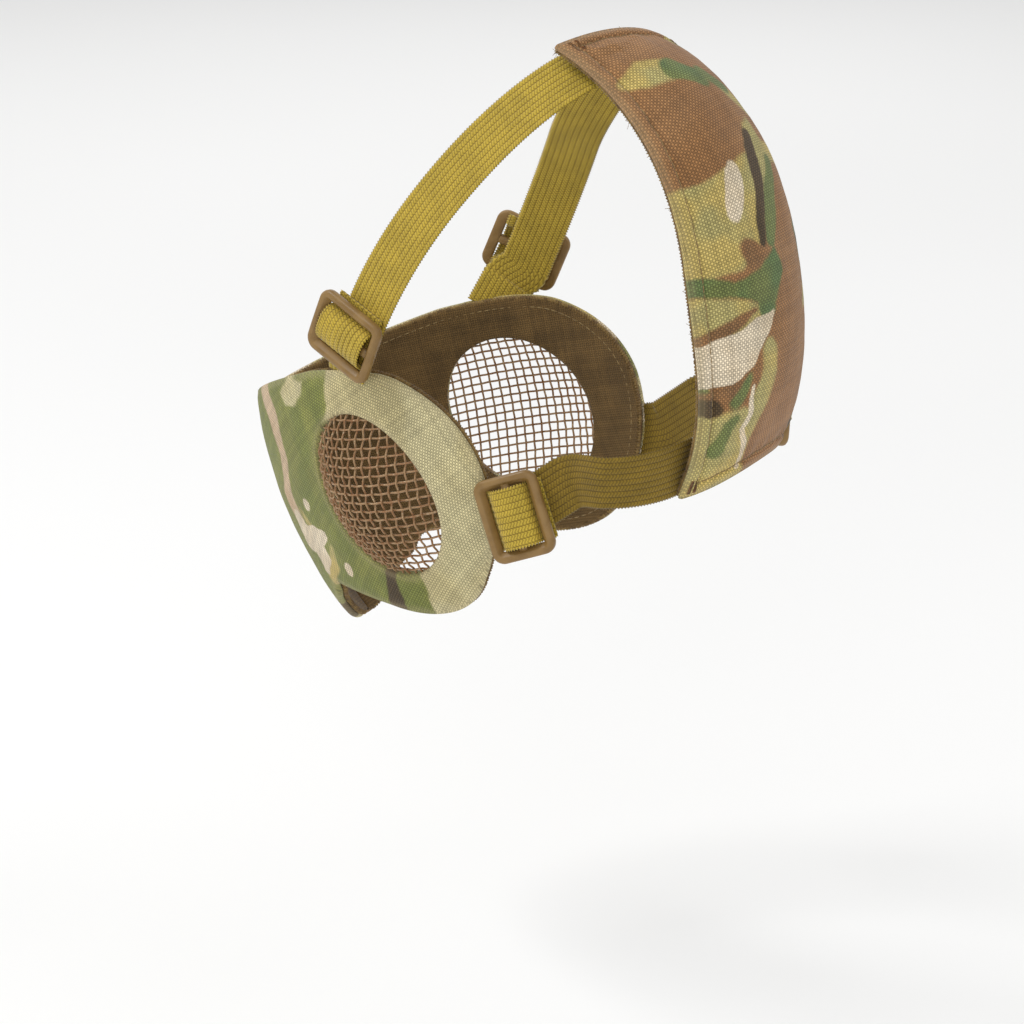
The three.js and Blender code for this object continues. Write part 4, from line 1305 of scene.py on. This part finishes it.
def grid_border(columns, rows):
    """Indices round the border of a grid, in order."""
    bottom = list(range(columns))
    right = [j * columns + columns - 1 for j in range(1, rows)]
    top = [(rows - 1) * columns + i for i in range(columns - 2, -1, -1)]
    left = [j * columns for j in range(rows - 2, 0, -1)]
    return bottom + right + top + left


def two_grids(columns, rows):
    """Faces of a closed sheet: a grid of points, another below it, and the border between them."""
    size = columns * rows
    border = grid_border(columns, rows)
    faces = grid_faces(columns, rows) + grid_faces(columns, rows, size, True)
    return faces + bridge(border, [i + size for i in border])


def inflate_pad():
    """Blows the pad up with the cloth solver and returns how far each point of its top moved, in mm."""
    u, v = pad_grid(FORM_COLUMNS, FORM_ROWS, FORM_SHARE)
    top = pad_place(u, v, pad_top(u, v) - 1.5)[0].reshape(-1, 3)
    under = pad_place(u, v, 2.6)[0].reshape(-1, 3)
    count = len(top)
    mesh = bpy.data.meshes.new("pad_form")
    points = np.concatenate([top, under]) * MM * FORM_SCALE
    mesh.from_pydata(points.tolist(), [], two_grids(FORM_COLUMNS, FORM_ROWS))
    form = bpy.data.objects.new("pad_form", mesh)
    scene.collection.objects.link(form)
    held = form.vertex_groups.new(name="held")
    held.add(grid_border(FORM_COLUMNS, FORM_ROWS) + list(range(count, 2 * count)), 1.0, "REPLACE")
    cloth = form.modifiers.new("cloth", "CLOTH")
    settings = cloth.settings
    settings.quality = 6
    settings.mass = 0.4
    settings.tension_stiffness = settings.compression_stiffness = 18
    settings.shear_stiffness = 8
    settings.bending_stiffness = 0.8
    settings.use_pressure = True
    settings.uniform_pressure_force = 4
    settings.shrink_min = settings.shrink_max = -0.022
    settings.vertex_group_mass = "held"
    settings.effector_weights.gravity = 0
    cloth.collision_settings.use_collision = False
    cloth.point_cache.frame_start, cloth.point_cache.frame_end = 1, FORM_FRAMES
    for number in range(1, FORM_FRAMES + 1):
        scene.frame_set(number)
    evaluated = form.evaluated_get(bpy.context.evaluated_depsgraph_get())
    moved = np.array([v.co for v in evaluated.data.vertices])[:count] / (MM * FORM_SCALE)
    scene.frame_set(1)
    bpy.data.objects.remove(form)
    rise = ((moved - top) * unit(top / HEAD**2)).sum(1)
    return np.clip(rise.reshape(FORM_ROWS, FORM_COLUMNS), -1.2, 3.0)


def read_grid(values, x, y, smooth):
    """The values of a grid between its points, at column x and row y."""
    rows, columns = values.shape
    i, j = np.minimum(x.astype(int), columns - 2), np.minimum(y.astype(int), rows - 2)
    fx, fy = x - i, y - j
    if smooth:
        fx, fy = smoothstep(fx, 0, 1), smoothstep(fy, 0, 1)
    low = lerp(values[j, i], values[j, i + 1], fx)
    high = lerp(values[j + 1, i], values[j + 1, i + 1], fx)
    return lerp(low, high, fy)


def crowded(count):
    """Shares from -1 to 1 that crowd towards both ends, where the hem is."""
    bend = math.pi / 2 * 0.86
    return np.sin(np.linspace(-1, 1, count) * bend) / math.sin(bend)


def pad_relief():
    """Height of the cushion's top over the head: a rolled hem round a blown-up body with wrinkles."""
    swell = inflate_pad()
    form_x = np.clip((u / FORM_SHARE + 1) / 2, 0, 1) * (FORM_COLUMNS - 1)
    form_y = np.clip((v / FORM_SHARE + 1) / 2, 0, 1) * (FORM_ROWS - 1)
    rise = read_grid(swell, form_x, form_y, True)
    past_hem = from_edge - HEM
    body_rise = 1 - np.exp(-np.maximum(past_hem, 0) / 5.0)
    roll = np.sqrt(np.clip(1 - ((from_edge - HEM * 0.52) / (HEM * 0.52)) ** 2, 0, 1))
    body_height = HEM_FOOT + (pad_top(u, v) - HEM_FOOT + 0.25 + rise * 0.9) * body_rise
    relief = np.where(past_hem < 0, HEM_FOOT + 0.85 * roll, body_height)
    relief -= 0.45 * np.exp(-(past_hem / 0.7) ** 2)
    places = bare.reshape(-1, 3)
    wrinkle = smooth_noise(places * np.array([1, 1, 0.45]), 13.0, 40).reshape(u.shape)
    fine = smooth_noise(places, 5.0, 44).reshape(u.shape)
    relief += 0.45 * wrinkle * body_rise + 0.10 * fine
    around = np.where(from_side < from_end, pad_t * MM_PER_DEGREE, bare[..., 0])
    pucker = np.sin(around * 0.62 + 1.5 * wrinkle) * np.exp(-np.abs(past_hem - 2.5) / 3.5)
    relief += 0.30 * pucker * (from_edge > HEM * 0.6)
    return np.minimum(relief, PAD_CROWN + 2.6)


u, v = np.meshgrid(crowded(COLUMNS), crowded(ROWS))
bare, pad_t = pad_place(u, v, 0)
from_side = (1 - np.abs(u)) * pad_half_width(pad_t)
from_end = (1 - np.abs(v)) * HALF_LENGTH
from_edge = np.minimum(from_side, from_end)
height = pad_relief()
border = np.array(grid_border(COLUMNS, ROWS))
edge_u, edge_v = u.ravel()[border], v.ravel()[border]
edge_foot, _ = pad_place(edge_u, edge_v, 0)
pad_up = unit(edge_foot / HEAD**2)
pad_along = unit(np.roll(edge_foot, -1, 0) - np.roll(edge_foot, 1, 0))
pad_out = unit(np.cross(pad_along, pad_up))
if ((edge_foot - edge_foot.mean(0)) * pad_out).sum() < 0:
    pad_out = -pad_out


def cushion_shape():
    """Points and faces of the pad's cushion: its top, the rings of its side, and its underside."""
    top, under = (pad_place(u, v, level)[0].reshape(-1, 3) for level in (height, 2.75))
    points, faces = [top], grid_faces(COLUMNS, ROWS)
    total, before = len(top), border
    for k, h in PAD_RINGS:
        points.append(edge_foot + pad_out * k + pad_up * h)
        here = np.arange(total, total + len(border))
        faces += bridge(before, here)
        total += len(border)
        before = here
    faces += grid_faces(COLUMNS, ROWS, total, True) + bridge(before, border + total)
    return np.concatenate([*points, under]), faces


def pad_values(grid_values, past_edge=0.0):
    """Values on the pad's grid for every point of the cushion, with more added along its side."""
    flat = grid_values.ravel()
    side = [flat[border] + past_edge * run for run in PAD_RING_RUN]
    return np.concatenate([flat, *side, flat])


pattern = pad_camo(bare[..., 0].ravel(), pad_t.ravel())
attributes = {key: pad_values(np.clip(value, -FARTHEST, FARTHEST)) for key, value in pattern.items()}
attributes["edge"] = pad_values(np.exp(-from_edge / 1.4))
cloth = cloth_vectors(pad_values(bare[..., 0], CLOTH_TURN), pad_values(pad_t * MM_PER_DEGREE, CLOTH_TURN))
cushion = build("pad_cushion", *cushion_shape(), pad_cloth, False, attributes, cloth)
made_of(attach(cushion, "harness"), "pad_camo", "pad_cover")


def pad_sheet(name, columns, rows, share, outer, inner, wave, material):
    """A closed sheet between two heights over the head. wave makes its inner face uneven."""
    gu, gv = pad_grid(columns, rows, share)
    places, gt = pad_place(gu, gv, 0)
    uneven = wave * smooth_noise(places.reshape(-1, 3), 14.0, 61).reshape(gu.shape)
    high, low = (pad_place(gu, gv, level)[0].reshape(-1, 3) for level in (outer, inner + uneven))
    cloth = np.tile(cloth_vectors(high[:, 0], gt.ravel() * MM_PER_DEGREE), (2, 1))
    return build(name, np.concatenate([high, low]), two_grids(columns, rows), material, cloth=cloth)


pad_lining = pad_sheet("pad_lining_cloth", 61, 121, 0.99, 1.95, 1.25, 0.18, lining_fabric)
made_of(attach(pad_lining, "harness"), "lining_fabric", "pad_lining")
pad_foam = pad_sheet("pad_foam_core", 31, 61, 0.88, 2.65, 2.15, 0.0, foam_look)
made_of(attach(pad_foam, "harness"), "foam", "pad_foam")

parts = overlock(edge_foot, pad_up, pad_out, centre_out=0.35, centre_up=1.15, bar=0.6, closed=True)
random = np.random.default_rng(5)
for _ in range(260):
    i = random.integers(len(border))
    if edge_u[i] < 0.9 and abs(edge_v[i]) < 0.99 and random.random() < 0.6:
        continue
    root = edge_foot[i] + pad_up[i] * random.uniform(0.7, 1.9) + pad_out[i] * 0.8
    lean = pad_out[i] * random.uniform(0.4, 1.0) + pad_along[i] * random.normal(0, 0.7)
    lean += pad_up[i] * random.normal(0, 0.4)
    curl = random.normal(0, 0.5, 3)
    reach = np.linspace(0, random.uniform(0.8, 1.9), 5)[:, None]
    parts.add(*tube(root + unit(lean) * reach + curl * reach**2 * 0.22, pad_up[i], 0.075, 4))
binding = build("pad_overlock_edge", *parts.shape(), overlock_thread)
made_of(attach(binding, "harness"), "overlock_thread", "pad_binding")


def pad_line(inset, steps=900):
    """Shares u and v along a line that runs at an inset from the pad's edge."""
    run = np.linspace(0, 4, steps, endpoint=False)
    corner = np.array([(-1, -1), (1, -1), (1, 1), (-1, 1), (-1, -1)], float)
    lu, lv = read_at(run, range(5), corner).T
    half_wide = pad_half_width(pad_place(lu, lv, 0)[1])
    lu = np.clip(lu, -1 + inset / half_wide, 1 - inset / half_wide)
    return lu, np.clip(lv, -1 + inset / HALF_LENGTH, 1 - inset / HALF_LENGTH)


def on_pad(lu, lv, lift):
    """Places at a lift over the cushion's finished top, and the directions up from it."""
    x = np.interp(lu, crowded(COLUMNS), range(COLUMNS))
    y = np.interp(lv, crowded(ROWS), range(ROWS))
    places, _ = pad_place(lu, lv, read_grid(height, x, y, False) + lift)
    return places, unit(places / HEAD**2)


parts = stitches(*on_pad(*pad_line(HEM), 0.12), 2.6, 0.55, 0.05)
top_stitch = build("pad_topstitching", *parts.shape(), stitch_thread)
made_of(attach(top_stitch, "harness"), "overlock_thread")

# zigzag bar tacks where each strap is sewn under a corner
parts = Parts()
zigzag = 0.022 * (np.arange(57) % 2)
for corner_u in (-1, 1):
    for corner_v, shares in ((-1, (0.905, 0.955)), (1, (0.80, 0.88))):
        for share in shares:
            path, up = on_pad(corner_u * (share + zigzag), corner_v * np.linspace(0.985, 0.925, 57), 0.16)
            parts.add(*tube(path, up, 0.17, 5))
tacks = build("pad_bar_tacks", *parts.shape(), rust_thread)
made_of(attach(tacks, "harness"), "overlock_thread")


# ---------- floor and light ----------
def stage_material():
    n = Nodes("studio_floor", roughness=0.9, specular=0.1)
    return n.finish(n.mix(n.ramp(n.noise(900.0, 1.0), 0.3, 0.7), (0.90, 0.90, 0.895), (0.93, 0.93, 0.925)))


floor_mesh = bpy.data.meshes.new("floor")
floor_mesh.from_pydata([(-4, -4, -0.26), (4, -4, -0.26), (4, 4, -0.26), (-4, 4, -0.26)], [], [(0, 1, 2, 3)])
floor_mesh.materials.append(stage_material())
floor = bpy.data.objects.new("floor", floor_mesh)
scene.collection.objects.link(floor)


def area_light(name, place, size, power, target=(0, 0, 0)):
    data = bpy.data.lights.new(name, "AREA")
    data.shape = "DISK"
    data.size = size
    data.energy = power
    lamp = bpy.data.objects.new(name, data)
    scene.collection.objects.link(lamp)
    lamp.location = place
    lamp.rotation_mode = "QUATERNION"
    lamp.rotation_quaternion = (Vector(target) - Vector(place)).to_track_quat("-Z", "Y")
    return lamp


area_light("key", (0.6, -1.1, 1.6), 0.8, 15)
area_light("side", (1.9, 0.5, 0.8), 1.4, 7)
area_light("back", (-0.6, 1.7, 1.3), 1.4, 7)
area_light("far_side", (-1.7, -0.9, 0.9), 1.4, 4)
world = bpy.data.worlds.new("studio")
scene.world = world
world.use_nodes = True
world.node_tree.nodes["Background"].inputs["Color"].default_value = (1, 1, 1, 1)
world.node_tree.nodes["Background"].inputs["Strength"].default_value = 0.68
